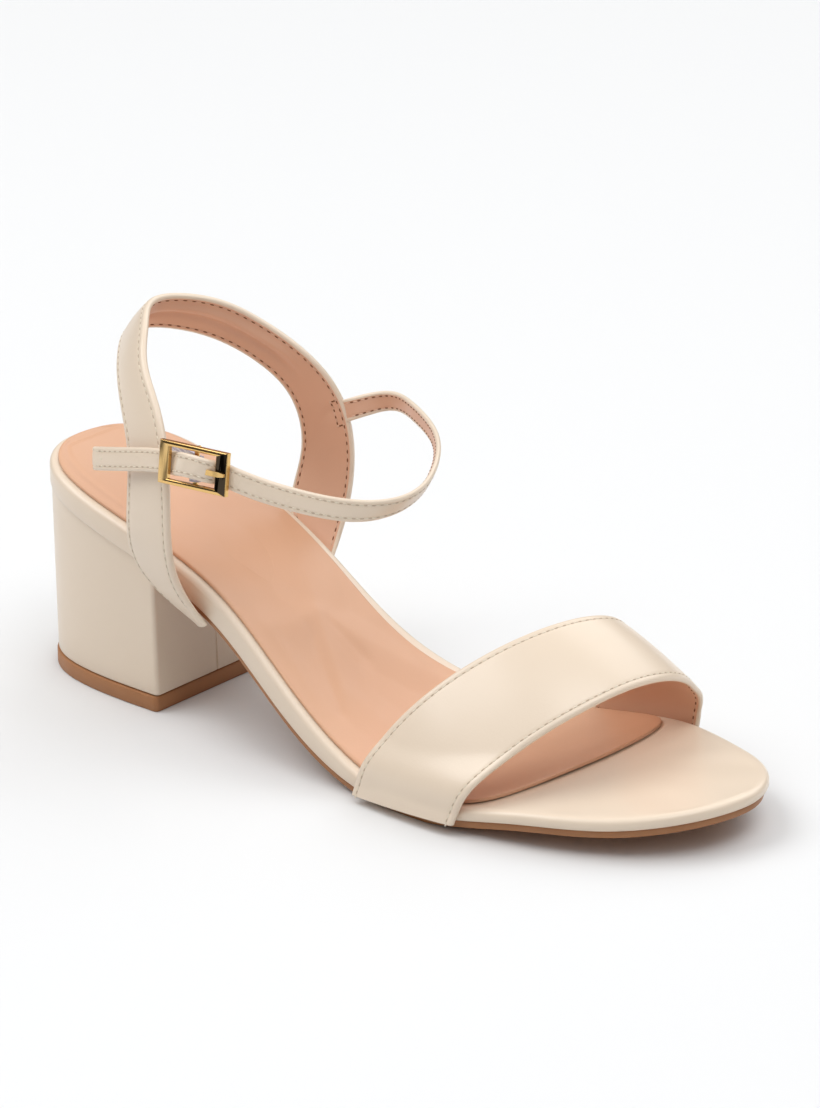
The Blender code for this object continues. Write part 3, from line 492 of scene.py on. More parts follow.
# Heel: a moulded block wrapped in the cream leather, its seam up the middle of the flat
# breast. The tan wear pad is pinned under it with a thin dark joint between the two.
HEEL_CORNER = 1.4
CORNER_STEPS = 8
CORNER_CLEARANCE = 0.6
PLAN_BEYOND_BREAST = 12.0
HEEL_FOOT_INSET = 0.75
HEEL_TOP_INSET = 1.3
TOP_PIECE_HEIGHT = 4.8
TOP_PIECE_INSET = 0.3
HEEL_SECTIONS = 10
FOOT_FOLD = [(0.75, 0.0), (0.2, 0.12), (0.0, 0.6)]      # further inset, height above the joint
PAD_EDGE = [(0.6, 0.0), (0.2, 0.15), (0.0, 0.55), (0.0, 4.3), (0.15, 4.65), (0.5, 4.8)]
SEAM_RUN = [(0.0, 2.5), (0.0, 0.35), (0.5, 0.04)]    # depth, distance from the middle


def heel_rows(inset, breast):
    plan = plan_rows(STATIONS, breast + PLAN_BEYOND_BREAST)
    sides = []
    end_x = breast - HEEL_CORNER
    for side, way in zip(inset_rows(plan, inset, False), (1.0, -1.0)):
        kept = side[side[:, 0] < end_x - CORNER_CLEARANCE]
        end_y = np.interp(end_x, side[:, 0], side[:, 1])
        bend = np.linspace(0.0, math.pi / 2, CORNER_STEPS)
        arc = np.column_stack([end_x + HEEL_CORNER * np.sin(bend),
                               end_y + way * HEEL_CORNER * (1 - np.cos(bend))])
        sides.append(np.vstack([kept, arc]))
    return sides


def heel_seam(rows):
    """Close the breast with points that sink into the wrap's seam."""
    middle = (rows[0][-1, 1] + rows[1][-1, 1]) / 2
    front = rows[0][-1, 0]
    return [np.vstack([side, [(front - depth, middle + way * away) for depth, away in SEAM_RUN]])
            for side, way in zip(rows, (-1, 1))]


def level(height):
    return lambda x: np.full_like(x, height)


heel_foot = TOP_PIECE_HEIGHT + SEAT_GAP
heel_rings = []
for extra, rise in FOOT_FOLD:
    rows = heel_rows(HEEL_FOOT_INSET + extra, HEEL_BREAST - extra)
    heel_rings.append(with_height(heel_seam(rows), level(heel_foot + rise)))
fold_top = heel_foot + FOOT_FOLD[-1][1]
for share in np.linspace(1 / HEEL_SECTIONS, 1.0, HEEL_SECTIONS):
    inset = HEEL_FOOT_INSET + (HEEL_TOP_INSET - HEEL_FOOT_INSET) * share
    rows = heel_seam([side - [HEEL_LEAN * share, 0.0] for side in heel_rows(inset, HEEL_BREAST)])
    heel_rings.append(with_height(
        rows, lambda x: fold_top + (footbed_underside(x) - SEAT_GAP - fold_top) * share))
heel_wrap = stacked_solid("heel_wrap", heel_rings, False, CREAM)
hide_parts("heel_block")

pad_rings = [with_height(heel_rows(TOP_PIECE_INSET + inset, HEEL_BREAST - inset), level(rise))
             for inset, rise in PAD_EDGE]
wear_pad = stacked_solid("heel_wear_pad", pad_rings, False, TAN)
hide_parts("heel_top_piece")


# Footbed: a stiff board wrapped in the cream leather, which shows as a rounded rim round
# the insole and as the smooth cover under the toes, drawn in over the tip in faint pleats.
SOCK_DROP = 0.5
FOOTBED_COLUMNS = 36
FOOT_ROUNDING = [(0.9, 0.0), (0.5, 0.12), (0.2, 0.42), (0.0, 1.0)]
RIM_ROUNDING = [(0.0, -1.75), (0.08, -1.35), (0.28, -0.95), (0.6, -0.55), (1.05, -0.26),
                (1.7, -0.08), (2.5, 0.0)]
SEAT_DISH = 1.1
BALL_DISH = 0.5
PLEAT_CENTRE = (176.0, 12.0)
PLEATS = [(0.10, 9.0, 0.6), (0.07, 17.0, 2.0)]     # height, waves to a radian, start


def cup(x, share):
    """How far the seat is dished across its width, in millimetres."""
    across = (4 * share * (1 - share)) ** 2
    seat = window(x, -2.0, 18.0, 60.0, 95.0)
    ball = window(x, 118.0, 145.0, 172.0, 200.0)
    return across * (SEAT_DISH * seat + BALL_DISH * ball)


def toe_pleats(x, y):
    """Low ridges that fan out over the toe cover, where the leather is pulled round."""
    run_x, run_y = x - PLEAT_CENTRE[0], y - PLEAT_CENTRE[1]
    away = np.hypot(run_x, run_y)
    angle = np.arctan2(run_y, run_x)
    fade = window(away, 18.0, 34.0, 50.0, 57.0)
    return fade * sum(height * np.sin(angle * waves + begin) for height, waves, begin in PLEATS)


def cover_height(x):
    return top_height(x) - SOCK_DROP


def footbed_face(x, y, share):
    return float(cover_height(x) - cup(x, share) + toe_pleats(x, y))


def footbed_rows(inset):
    return inset_rows(plan_rows(STATIONS), inset, True)


footbed = stacked_solid("footbed_cover",
                        edge_rings(footbed_underside, FOOT_ROUNDING, footbed_rows)
                        + edge_rings(cover_height, RIM_ROUNDING, footbed_rows),
                        True, CREAM, FOOTBED_COLUMNS, footbed_face)
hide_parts("footbed")


# Sock: the blush insole, a foam-backed sheet pressed with a soft pattern of facets over
# the arch and a pad line round the heel, and glued down inside the rim.
SOCK_THICKNESS = 1.0
SOCK_STATIONS = 300
SOCK_INSET_LATERAL = 2.6
SOCK_INSET_MEDIAL = 3.4
SOCK_WAIST = (108.0, 20.0, 1.4)
SOCK_LAST_STATION = 160.0
SOCK_FRONT = [
    ((163.8, -27.6), (166.8, 50.3)), ((166.7, -26.9), (171.5, 50.4)),
    ((168.9, -26.2), (174.3, 50.2)), ((170.8, -25.0), (176.8, 49.3)),
    ((172.9, -23.1), (178.9, 47.4)), ((174.6, -20.6), (180.4, 44.6)),
    ((176.1, -17.1), (181.3, 41.0)), ((177.2, -13.0), (181.8, 37.0)),
    ((178.2, -8.0), (182.0, 32.5)), ((179.0, -3.0), (182.0, 28.0)),
    ((179.7, 2.0), (181.9, 24.0)), ((180.3, 7.0), (181.7, 20.0)),
]
SOCK_FRONT_TIP = (181.1, 13.5)
HUB = (91.0, -1.4)
PRESSED_RIDGES = [       # tents pressed up in the arch: start, end, heights, half width
    (HUB, (64.2, 13.3), 1.75, 0.60, 11.0), (HUB, (89.7, -25.4), 1.75, 0.40, 9.0),
    (HUB, (113.1, 14.5), 1.75, 1.10, 8.0), (HUB, (112.5, -12.1), 1.75, 1.00, 7.0),
    ((113.1, 14.5), (134.0, 33.0), 1.10, 0.0, 8.5), ((112.5, -12.1), (138.0, -6.0), 1.00, 0.0, 8.5),
    ((89.2, -18.8), (112.0, -24.0), 1.05, 0.2, 5.0), ((97.3, -0.7), (108.1, 13.5), 1.30, 0.75, 5.0),
]
PRESSED_CREASES = [      # narrow soft creases between them: start, end, depth, half width
    ((93.3, -7.1), (115.9, -19.0), 0.45, 1.6), ((67.0, -1.5), (84.0, -3.0), 0.55, 7.0),
    ((94.0, 0.0), (106.0, 2.5), 0.40, 1.5),
]
PRESSED_PAD = (7.0, 0.34, 1.4)   # heel pad line: inset from the edge, depth, half width
PAD_END = 52.0
PAD_FADING = 12.0
PAD_BACK_STRETCH = 1.3
TENT_ROUNDING = 0.7
TENT_BLEND = 5          # a high power keeps the facets apart where the tents meet
SOCK_COLUMNS = 60
SOCK_EDGE = [(0.0, 0.0), (0.0, 0.55), (0.08, 0.8), (0.3, 0.95), (0.7, SOCK_THICKNESS)]


def sock_rows(extra):
    lateral, medial = plan_rows(SOCK_STATIONS, SOCK_LAST_STATION)
    middle, length, size = SOCK_WAIST
    margin = SOCK_INSET_MEDIAL + size * hump(medial[:, 0], middle, length)
    back = smooth_step(medial[:, 0], -6.0, 12.0)
    margin = SOCK_INSET_LATERAL + (margin - SOCK_INSET_LATERAL) * back
    sides = inset_rows((lateral, medial), (SOCK_INSET_LATERAL, margin), False)
    return inset_rows([np.vstack([side, front, [SOCK_FRONT_TIP]])
                       for side, front in zip(sides, zip(*SOCK_FRONT))], extra, True)


def nearest(x, y, start, end):
    """Share along a line where it is nearest to a place, and the distance to it."""
    run = np.subtract(end, start)
    away = np.subtract((x, y), start)
    share = min(max(float(away @ run / (run @ run)), 0.0), 1.0)
    return share, math.hypot(*(away - share * run))


def pressed_height(x, y):
    power = 0.0
    for start, end, first, last, half_width in PRESSED_RIDGES:
        share, away = nearest(x, y, start, end)
        height = first + (last - first) * share
        tent = height * max(0.0, 1 - math.hypot(away, TENT_ROUNDING) / half_width)
        power += tent ** TENT_BLEND
    total = power ** (1 / TENT_BLEND)
    for start, end, depth, half_width in PRESSED_CREASES:
        total -= depth * hump(nearest(x, y, start, end)[1], 0.0, half_width)
    if x < PAD_END:
        inset, depth, half_width = PRESSED_PAD
        edge = min(side_y(MEDIAL_LINE, x) - y, y - side_y(LATERAL_LINE, x),
                   PAD_BACK_STRETCH * (x - LATERAL_LINE[0, 0]))
        fade = 1 - smooth_step(x, PAD_END - PAD_FADING, PAD_END)
        total -= depth * hump(edge, inset, half_width) * fade
    return total


def sock_underside(x):
    return cover_height(x) + SEAT_GAP


def sock_face(x, y, share):
    edge_share = smooth_step(min(share, 1 - share), 0.0, 0.12)
    return float(sock_underside(x) + SOCK_THICKNESS - cup(x, share)
                 + pressed_height(x, y) * edge_share)


sock = stacked_solid("insole_sock", edge_rings(sock_underside, SOCK_EDGE, sock_rows), True, INSOLE,
                     SOCK_COLUMNS, sock_face)
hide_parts("sock")


# Toe strap: cream leather folded round its edges over a blush lining, arched over the
# forefoot. It is sewn along both edges, and its ends go in between footbed and outsole.
STRAP_WALL = 1.8
STRAP_EXTRA_GAP = 0.08
TOE_STRAP_ROWS = 141
TOE_STRAP_CROWN = 1.0
STITCH_INSET = 2.0
STITCH_PITCH = 2.65
GROOVE_DEPTH = 0.14
GROOVE_HALF_WIDTH = 0.32
EDGE_SHARE = 0.46       # the rows near an edge reach no further over a strap's width
LEATHER_EDGE = 1.0      # the cream leather is folded this far over onto the lining
TOE_REAR = dict(lateral=(132.9, -33.0, 2.4), medial=(156.8, 53.9, 3.4), height=45.8,
                power=2.06, lean=0.25, skew=0.12, bow=11.7, flare=(-7.5, -2.9, 0.0))
TOE_FRONT = dict(lateral=(169.6, -31.9, 3.9), medial=(186.4, 54.6, 8.0), height=30.5,
                 power=1.79, lean=0.19, skew=0.10, bow=10.2, flare=(0.0, 0.0, 0.0))


def arch(shape, bend):
    lateral = np.array(shape["lateral"])
    medial = np.array(shape["medial"])
    exponent = 2 / shape["power"]
    across = np.sign(np.cos(bend)) * np.abs(np.cos(bend)) ** exponent
    rise = shape["height"] * np.abs(np.sin(bend)) ** exponent
    lift = np.array([shape["lean"], shape["skew"], 1.0])
    return ((lateral + medial) / 2 - across[:, None] * (medial - lateral) / 2
            + rise[:, None] * lift + (np.sin(bend) ** 2)[:, None] * [shape["bow"], 0.0, 0.0]
            + (np.clip(-np.cos(bend), 0.0, 1.0) ** 4)[:, None] * shape["flare"])


def clear_of_sole(grid, wall):
    """Push the lowest rows of a strap out until its lining clears the sole's side."""
    x, y, z = grid[..., 0], grid[..., 1], grid[..., 2]
    under = footbed_underside(x)
    drawn_in = OUTSOLE_INSET * (1 - smooth_step(z, under - 0.5, under + 1.3))
    need = SEAT_GAP + STRAP_EXTRA_GAP + wall / 2 - drawn_in
    low = 1 - smooth_step(z, top_height(x) + 1.0, top_height(x) + 14.0)
    lateral_limit = side_y(LATERAL_LINE, x) - need
    medial_limit = side_y(MEDIAL_LINE, x) + need
    pushed = np.where(y < (lateral_limit + medial_limit) / 2,
                      np.minimum(y, lateral_limit), np.maximum(y, medial_limit))
    grid[..., 1] = y + (pushed - y) * low
    return grid


def run_lengths(line):
    steps = np.linalg.norm(np.diff(line, axis=0), axis=1)
    return np.concatenate([[0.0], np.cumsum(steps)])


def folded_strap(name, front, rear, wall, crown, seated=False, middle_columns=14, relief=None,
                 sewn_at=STITCH_INSET):
    """A lined strap between two edges. Returns the object and a function for sewing lines."""
    wall = np.broadcast_to(wall, len(front))[:, None]
    rounding = np.max(wall) / 2
    groove = {sewn_at + step for step in (-0.5, -0.2, 0.0, 0.2, 0.5)}
    near = sorted({0.0, 0.05, 0.18, 0.4, rounding, 1.2, 3.2} | groove)
    width = np.linalg.norm(rear - front, axis=1)
    near = np.array([place for place in near if place < width.min() * EDGE_SHARE])
    inner = np.linspace(0.0, 1.0, middle_columns + 2)[1:-1]
    middle = near[-1] + inner * (width[:, None] - 2 * near[-1])
    distance = np.hstack([np.tile(near, (len(width), 1)), middle, width[:, None] - near[::-1]])
    share = distance / width[:, None]
    grid = front[:, None, :] * (1 - share)[..., None] + rear[:, None, :] * share[..., None]
    along = np.gradient(grid, axis=0)
    normal = np.cross(along, np.broadcast_to((rear - front)[:, None, :], grid.shape))
    normal /= np.linalg.norm(normal, axis=2)[..., None]
    if np.sum(normal * (grid - grid.reshape(-1, 3).mean(axis=0))) < 0:
        normal = -normal
    grid = grid + normal * (crown * 4 * share * (1 - share))[..., None]
    if seated:
        grid = clear_of_sole(grid, wall)
    from_edge = np.minimum(distance, width[:, None] - distance)
    bulge = np.sqrt(np.clip(1 - (1 - np.clip(from_edge / rounding, 0, 1)) ** 2, 0, 1))
    sunk = GROOVE_DEPTH * hump(from_edge, sewn_at, GROOVE_HALF_WIDTH)
    outer = grid + normal * (bulge * wall / 2 - sunk)[..., None]
    padding = 0.0 if relief is None else relief(np.linspace(0.0, 1.0, len(front))[:, None], share)
    lining = grid - normal * (bulge * (wall / 2 + padding) - 0.8 * sunk)[..., None]
    rows, columns = share.shape
    ring = np.concatenate([outer, lining[:, 1:-1][:, ::-1]], axis=1)
    around = ring.shape[1]
    faces = []
    slots = []
    for i in range(rows - 1):
        start = i * around
        faces += ring_faces(range(start, start + around), range(start + around, start + 2 * around))
        for j in range(around):
            lined = j >= columns - 1
            column = 2 * columns - 2 - j if lined else j
            slots.append(int(lined and from_edge[i, column] > LEATHER_EDGE))
    for row, flipped in ((0, True), (rows - 1, False)):
        for j in range(columns - 1):
            lower = 2 * (columns - 1) - j
            corners = [j, j + 1, (lower - 1) % around, lower % around]
            face = tuple(dict.fromkeys(row * around + corner for corner in corners))
            if len(face) > 2:
                faces.append(face[::-1] if flipped else face)
                slots.append(0)
    made = finished_object(name, ring.reshape(-1, 3), faces, [CREAM, BLUSH], slots, 50.0)

    def sewing_line(inset, from_rear, lined):
        """Points on the strap's face at a distance from one edge."""
        face = lining if lined else outer
        line = []
        for i in range(rows):
            at = width[i] - inset if from_rear else inset
            line.append([np.interp(at, distance[i], face[i, :, axis]) for axis in range(3)])
        return np.array(line)

    return made, sewing_line


def make_stitch_tree():
    """Geometry Nodes: small beads of thread laid end to end along a line."""
    tree = bpy.data.node_groups.new("stitch_row", "GeometryNodeTree")
    tree.interface.new_socket("Geometry", in_out="OUTPUT", socket_type="NodeSocketGeometry")
    for name, kind in (("Line", "Geometry"), ("Pitch", "Float"), ("Half Length", "Float"),
                       ("Radius", "Float"), ("Thread", "Material")):
        tree.interface.new_socket(name, in_out="INPUT", socket_type="NodeSocket" + kind)
    start = node(tree, "NodeGroupInput")
    end = node(tree, "NodeGroupOutput")
    curve = node(tree, "GeometryNodeMeshToCurve")
    spaced = node(tree, "GeometryNodeResampleCurve", mode="LENGTH")
    tangent = node(tree, "GeometryNodeInputTangent")
    aim = node(tree, "FunctionNodeAlignRotationToVector", axis="Z")
    bead = node(tree, "GeometryNodeMeshUVSphere", {"Segments": 8, "Rings": 6, "Radius": 1.0})
    size = node(tree, "ShaderNodeCombineXYZ")
    laid = node(tree, "GeometryNodeInstanceOnPoints")
    real = node(tree, "GeometryNodeRealizeInstances")
    painted = node(tree, "GeometryNodeSetMaterial")
    link(start, "Line", curve, "Mesh")
    link(curve, "Curve", spaced, "Curve")
    link(start, "Pitch", spaced, "Length")
    link(spaced, "Curve", laid, "Points")
    link(bead, "Mesh", laid, "Instance")
    link(tangent, "Tangent", aim, "Vector")
    link(aim, "Rotation", laid, "Rotation")
    link(start, "Radius", size, "X")
    link(start, "Radius", size, "Y")
    link(start, "Half Length", size, "Z")
    link(size, "Vector", laid, "Scale")
    link(laid, "Instances", real, "Geometry")
    link(real, "Geometry", painted, "Geometry")
    link(start, "Thread", painted, "Material")
    link(painted, "Geometry", end, "Geometry")
    return tree


STITCH_TREE = make_stitch_tree()
CREAM_THREAD = plain_material("cream_thread", (0.76, 0.67, 0.54), 0.6)
BLUSH_THREAD = plain_material("blush_thread", (0.74, 0.50, 0.36), 0.6)
# The needle slots' colours are painted shade: the shade down in each needle hole, drawn as dark
# beads.
CREAM_HOLE_PAINTED_SHADE = plain_material("painted_shade_needle_slot_in_cream", (0.54, 0.43, 0.32), 0.8)
BLUSH_HOLE_PAINTED_SHADE = plain_material("painted_shade_needle_slot_in_blush", (0.23, 0.10, 0.05), 0.8)
THREAD_RADIUS = 0.24
CREAM_HOLE_RADIUS = 0.22
BLUSH_HOLE_RADIUS = 0.26


def beads_along(name, lines, pitch, half_length, radius, thread, offset=0.0):
    """One piece of beads along several lines, each moved on by an offset."""
    points = []
    edges = []
    for line in lines:
        steps = run_lengths(line)
        at = np.linspace(offset, steps[-1] - offset, len(line) * 2)
        smooth = np.column_stack([np.interp(at, steps, line[:, axis]) for axis in range(3)])
        first = len(points)
        points.extend(smooth)
        edges.extend((first + i, first + i + 1) for i in range(len(smooth) - 1))
    mesh = bpy.data.meshes.new(name + "_line")
    mesh.from_pydata(to_metres(points).tolist(), edges, [])
    guide = bpy.data.objects.new(name, mesh)
    bpy.context.collection.objects.link(guide)
    rows = guide.modifiers.new("rows", "NODES")
    rows.node_group = STITCH_TREE
    values = {"Pitch": pitch * MM, "Half Length": half_length * MM, "Radius": radius * MM,
              "Thread": thread}
    for item in STITCH_TREE.interface.items_tree:
        if item.in_out == "INPUT" and item.name in values:
            rows[item.identifier] = values[item.name]
    bpy.context.view_layer.update()
    evaluated = guide.evaluated_get(bpy.context.evaluated_depsgraph_get())
    laid = bpy.data.meshes.new_from_object(evaluated)
    guide.modifiers.clear()
    guide.data = laid
    laid.shade_smooth()
    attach(guide, "root")
    return guide


def sew(name, lines, lined, pitch):
    """A stitch row: raised turns of thread between needle slots drawn as dark beads of painted
    shade.
    """
    thread_piece = beads_along(name + "_thread", lines, pitch, 0.27 * pitch, THREAD_RADIUS,
                               BLUSH_THREAD if lined else CREAM_THREAD)
    holes = beads_along(name + "_painted_shade_needle_slots", lines, pitch, 0.24 * pitch,
                        BLUSH_HOLE_RADIUS if lined else CREAM_HOLE_RADIUS,
                        BLUSH_HOLE_PAINTED_SHADE if lined else CREAM_HOLE_PAINTED_SHADE, pitch / 2)


def sew_edges(names, line, inset, pitch, kept=slice(None)):
    """Sew a strap along both edges, on its leather and on its lining."""
    for name, lined in zip(names, (False, True)):
        sew(name, [line(inset, side, lined)[kept] for side in (False, True)], lined, pitch)


bend = np.linspace(0.0, math.pi, TOE_STRAP_ROWS)
toe_strap, toe_line = folded_strap("toe_strap_leather", arch(TOE_FRONT, bend), arch(TOE_REAR, bend),
                                   STRAP_WALL, TOE_STRAP_CROWN, seated=True, middle_columns=18)
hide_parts("toe_strap")
sew_edges(("toe_strap", "toe_lining"), toe_line, STITCH_INSET, STITCH_PITCH)


# Heel band: one curved strip of the same lined leather that stands round the heel. Its
# two legs narrow to points, which are lasted under the footbed beside the arch.
BAND_WALL = 2.0
BAND_FRONT_EDGE = [
    (72.1, 25.3, 33.2), (68.8, 35.7, 49.9), (68.8, 38.5, 69.6), (65.5, 35.3, 87.1),
    (56.7, 29.8, 99.2), (45.9, 23.3, 107.7), (36.8, 13.3, 114.4), (28.6, 0.0, 116.5),
]
BAND_REAR_EDGE = [
    (69.0, 24.4, 31.9), (49.6, 31.7, 48.2), (49.9, 36.3, 63.4), (48.1, 33.3, 82.0),
    (41.4, 28.3, 91.1), (33.8, 22.3, 97.2), (25.3, 13.6, 101.9), (18.3, 0.0, 104.2),
]
BAND_LATERAL_SHIFT = 1.0
BAND_MEDIAL_SHIFT = 3.0
ROOT_WALL = 1.1         # the legs are skived thin where they go in under the footbed
ROOT_TRIM = 0.007
ROOT_TAPER = 0.07
BAND_ROWS = 241
BAND_CROWN = 0.6
BAND_POWER = 0.7
SEWN_ROWS = slice(9, -9)
LINING_ROLL = (1.2, 0.34, 0.11)     # height, place across the band, half width
LINING_TROUGH = (0.75, 0.56, 0.07)
PUCKER = (0.55, 0.79, 0.008)        # depth, place along the band, half width


def band_edge(half):
    half = np.array(half)
    loop = np.vstack([half * [1.0, -1.0, 1.0], half[::-1][1:]])
    loop[0, 1] -= BAND_LATERAL_SHIFT
    loop[-1, 1] -= BAND_MEDIAL_SHIFT
    return spline(chord_knots(loop, BAND_POWER), loop)


def lining_fold(along, across):
    """The lining's soft roll behind the heel, and the pucker where the ankle strap is sewn in."""
    behind = window(along, 0.30, 0.42, 0.66, 0.76)
    roll = sum(way * height * hump(across, place, half_width) for way, (height, place, half_width)
               in ((1, LINING_ROLL), (-1, LINING_TROUGH)))
    depth, place, half_width = PUCKER
    slant = along - 0.03 * (across - 0.3)
    return behind * roll - depth * hump(slant, place, half_width) * hump(across, 0.32, 0.16)


share = np.linspace(0.0, 1.0, BAND_ROWS)
from_root = np.minimum(share, 1 - share)
band_wall = ROOT_WALL + (BAND_WALL - ROOT_WALL) * smooth_step(from_root, 0.0, ROOT_TAPER)
trim = ROOT_TRIM + (1 - 2 * ROOT_TRIM) * share
heel_band, band_line = folded_strap("heel_band_leather", band_edge(BAND_FRONT_EDGE)(trim),
                                    band_edge(BAND_REAR_EDGE)(trim), band_wall, BAND_CROWN,
                                    seated=True, relief=lining_fold)
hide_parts("heel_strap")
sew_edges(("heel_band", "band_lining"), band_line, STITCH_INSET, STITCH_PITCH, SEWN_ROWS)


# Ankle strap: a narrow lined strap, sewn into the band's medial leg, that runs round the
# ankle, through the buckle on the lateral side, and ends in a square free tail.
ANKLE_WALL = 1.5
ANKLE_HALF_WIDTH = 3.4
BUCKLE_REAR = (70.4, -41.3, 88.9)
BUCKLE_FRONT = (91.2, -39.1, 89.7)
BUCKLE_UP = (0.12, 0.2, 0.97)
ANKLE_ROUND = [
    ((61.0, 36.1, 77.6), (-0.2, -0.2, 1.0)), ((67.9, 37.0, 80.6), (-0.2, -0.1, 1.0)),
    ((77.4, 42.4, 84.3), (0.0, -0.3, 1.0)), ((93.3, 37.3, 86.6), (0.1, -0.3, 1.0)),
    ((112.6, 25.0, 86.9), (0.2, -0.25, 1.0)), ((127.3, 7.5, 86.0), (0.5, 0.0, 1.0)),
    ((133.7, -10.2, 84.3), (0.6, 0.1, 1.0)), ((129.4, -22.6, 84.0), (0.4, 0.2, 1.0)),
    ((112.5, -31.5, 85.1), (0.15, 0.2, 1.0)), ((98.5, -35.6, 87.0), (0.0, 0.2, 1.0)),
]
THREADING = [            # through the buckle's own frame: (along, up, away from the leg)
    (10.6, -0.9, -2.1), (8.3, -0.6, -2.1), (5.2, 0.3, 1.4), (2.6, 0.8, 2.5),
    (0.0, 0.9, 2.6), (-2.6, 0.8, 2.2), (-5.4, 0.2, 0.4), (-8.3, -0.5, -2.0),
    (-10.6, -0.6, -2.1),
]
ANKLE_TAIL = [
    ((62.0, -38.9, 86.4), (0.0, 0.25, 1.0)), ((52.0, -38.7, 83.9), (0.0, 0.25, 1.0)),
    ((38.8, -37.8, 80.4), (0.0, 0.22, 1.0)),
]
HOLE_PLACES = [109.5, 101.5, 94.3, 67.2, 57.8]
HOLE_RADIUS = 0.85
ANKLE_ENTRY_X = 66.3    # the strap is caught between the band's leather and its lining here
ANKLE_STITCH_INSET = 1.3
ANKLE_STITCH_PITCH = 2.3
ANKLE_ROWS = 421
MEDIAL_ROWS = 60
ANKLE_CROWN = 0.15

buckle_x = Vector(np.subtract(BUCKLE_FRONT, BUCKLE_REAR)).normalized()
buckle_z = buckle_x.cross(Vector(BUCKLE_UP)).normalized()
buckle_y = buckle_z.cross(buckle_x)
buckle_middle = (Vector(BUCKLE_REAR) + Vector(BUCKLE_FRONT)) / 2


def buckle_point(along, up, away):
    return buckle_middle + buckle_x * along + buckle_y * up + buckle_z * away


def ankle_line(samples):
    threaded = [(buckle_point(*row), BUCKLE_UP) for row in THREADING]
    rows = ANKLE_ROUND + threaded + ANKLE_TAIL
    middle = np.array([tuple(row[0]) for row in rows])
    direction = np.array([tuple(row[1]) for row in rows])
    knots = chord_knots(middle, OUTLINE_POWER)
    share = np.linspace(0.0, 1.0, samples)
    centre = spline(knots, middle)(share)
    side = spline(knots, direction)(share)
    along = np.gradient(centre, axis=0)
    along /= np.linalg.norm(along, axis=1)[:, None]
    side -= along * np.sum(side * along, axis=1)[:, None]
    side *= (ANKLE_HALF_WIDTH / np.linalg.norm(side, axis=1))[:, None]
    return centre, side


ankle_centre, ankle_side = ankle_line(ANKLE_ROWS)
inside_band = int(np.argmin(np.abs(ankle_centre[:MEDIAL_ROWS, 0] - ANKLE_ENTRY_X)))
ankle_centre = ankle_centre[inside_band:]
ankle_side = ankle_side[inside_band:]
ankle_wall = ANKLE_WALL * (0.45 + 0.55 * smooth_step(np.arange(len(ankle_centre)), 2, 12))
ankle_strap, ankle_sewing = folded_strap("ankle_strap_leather", ankle_centre + ankle_side,
                                         ankle_centre - ankle_side, ankle_wall, ANKLE_CROWN,
                                         middle_columns=5, sewn_at=ANKLE_STITCH_INSET)
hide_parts("heel_strap")
sew_edges(("ankle_strap", "ankle_lining"), ankle_sewing, ANKLE_STITCH_INSET, ANKLE_STITCH_PITCH,
          slice(6, -4))


# Sewn details: the box of stitches that holds the ankle strap in the band, the bar tack near its
# free end, and the punched holes with their pressed rims, each hole a closed dark disc of painted
# shade.
def unit(vector):
    return vector / np.linalg.norm(vector)


def circle(centre, one, two, radius, sides):
    turns = np.linspace(0.0, 2 * math.pi, sides + 1)[:-1]
    return [centre + radius * (one * math.cos(turn) + two * math.sin(turn)) for turn in turns]


def strap_frame(place):
    """Middle, along, up and outward directions of the ankle strap at one of its stations."""
    middle = ankle_centre[place]
    along = unit(ankle_centre[place + 1] - ankle_centre[place - 1])
    up = unit(ankle_side[place])
    outward = np.cross(along, up)
    if outward[1] > 0:
        outward = -outward
    return middle, along, up, outward


LATERAL_LIMIT = -20.0
RIM_SIDES = 20
RIM_PROFILE = [          # radius as a share of the hole's, height over the leather
    (0.78, -0.12), (0.86, 0.02), (1.02, 0.10), (1.22, 0.07), (1.36, -0.06),
]
TAIL_TACK_PLACE = 9     # stations from the tail's end
BOX_REACH = 4
BOX_INSET = 4.6
BOX_PITCH = 1.9
TACK_PITCH = 1.5
lateral_stations = np.where(ankle_centre[:, 1] < LATERAL_LIMIT)[0]
rim_points = []
rim_faces = []
rim_slots = []
for hole_x in HOLE_PLACES:
    place = lateral_stations[np.argmin(np.abs(ankle_centre[lateral_stations, 0] - hole_x))]
    middle, along, up, outward = strap_frame(place)
    first = len(rim_points)
    for radius, height in RIM_PROFILE:
        raised = middle + outward * (ANKLE_WALL / 2 + 0.1 + height)
        rim_points += circle(raised, along, up, radius * HOLE_RADIUS, RIM_SIDES)
    rings = [range(low, low + RIM_SIDES) for low in range(first, len(rim_points), RIM_SIDES)]
    # The disc across each hole and its inner wall take the dark slot colour: painted shade down in
    # the punched hole.
    rim_faces.append(tuple(rings[0]))
    rim_slots.append(1)
    for lower, upper in zip(rings, rings[1:]):
        rim_faces.extend(ring_faces(lower, upper))
        rim_slots.extend([int(lower is rings[0])] * RIM_SIDES)
    rim_faces.append(tuple(rings[-1])[::-1])
    rim_slots.append(0)
hole_rims = finished_object("ankle_strap_holes_with_painted_shade", rim_points, rim_faces, [CREAM, CREAM_HOLE_PAINTED_SHADE],
                            rim_slots, 60.0)

middle, along, up, outward = strap_frame(len(ankle_centre) - TAIL_TACK_PLACE)
tack = np.array([middle + outward * (ANKLE_WALL / 2 + 0.12) + up * height
                 for height in np.linspace(-ANKLE_HALF_WIDTH + 1.2, ANKLE_HALF_WIDTH - 1.2, 9)])
tack_thread = beads_along("tail_tack_thread", [tack], TACK_PITCH, 0.5, THREAD_RADIUS, CREAM_THREAD)

sewn_row = band_line(STITCH_INSET, False, True)
entry = int(np.argmin(np.linalg.norm(sewn_row - ankle_centre[0], axis=1)))
inner_row = band_line(BOX_INSET, False, True)
box_lines = [inner_row[entry - BOX_REACH:entry + BOX_REACH + 1]]
for end in (entry - BOX_REACH, entry + BOX_REACH):
    box_lines.append(np.linspace(sewn_row[end], inner_row[end], 4))
sew("junction_box", box_lines, True, BOX_PITCH)


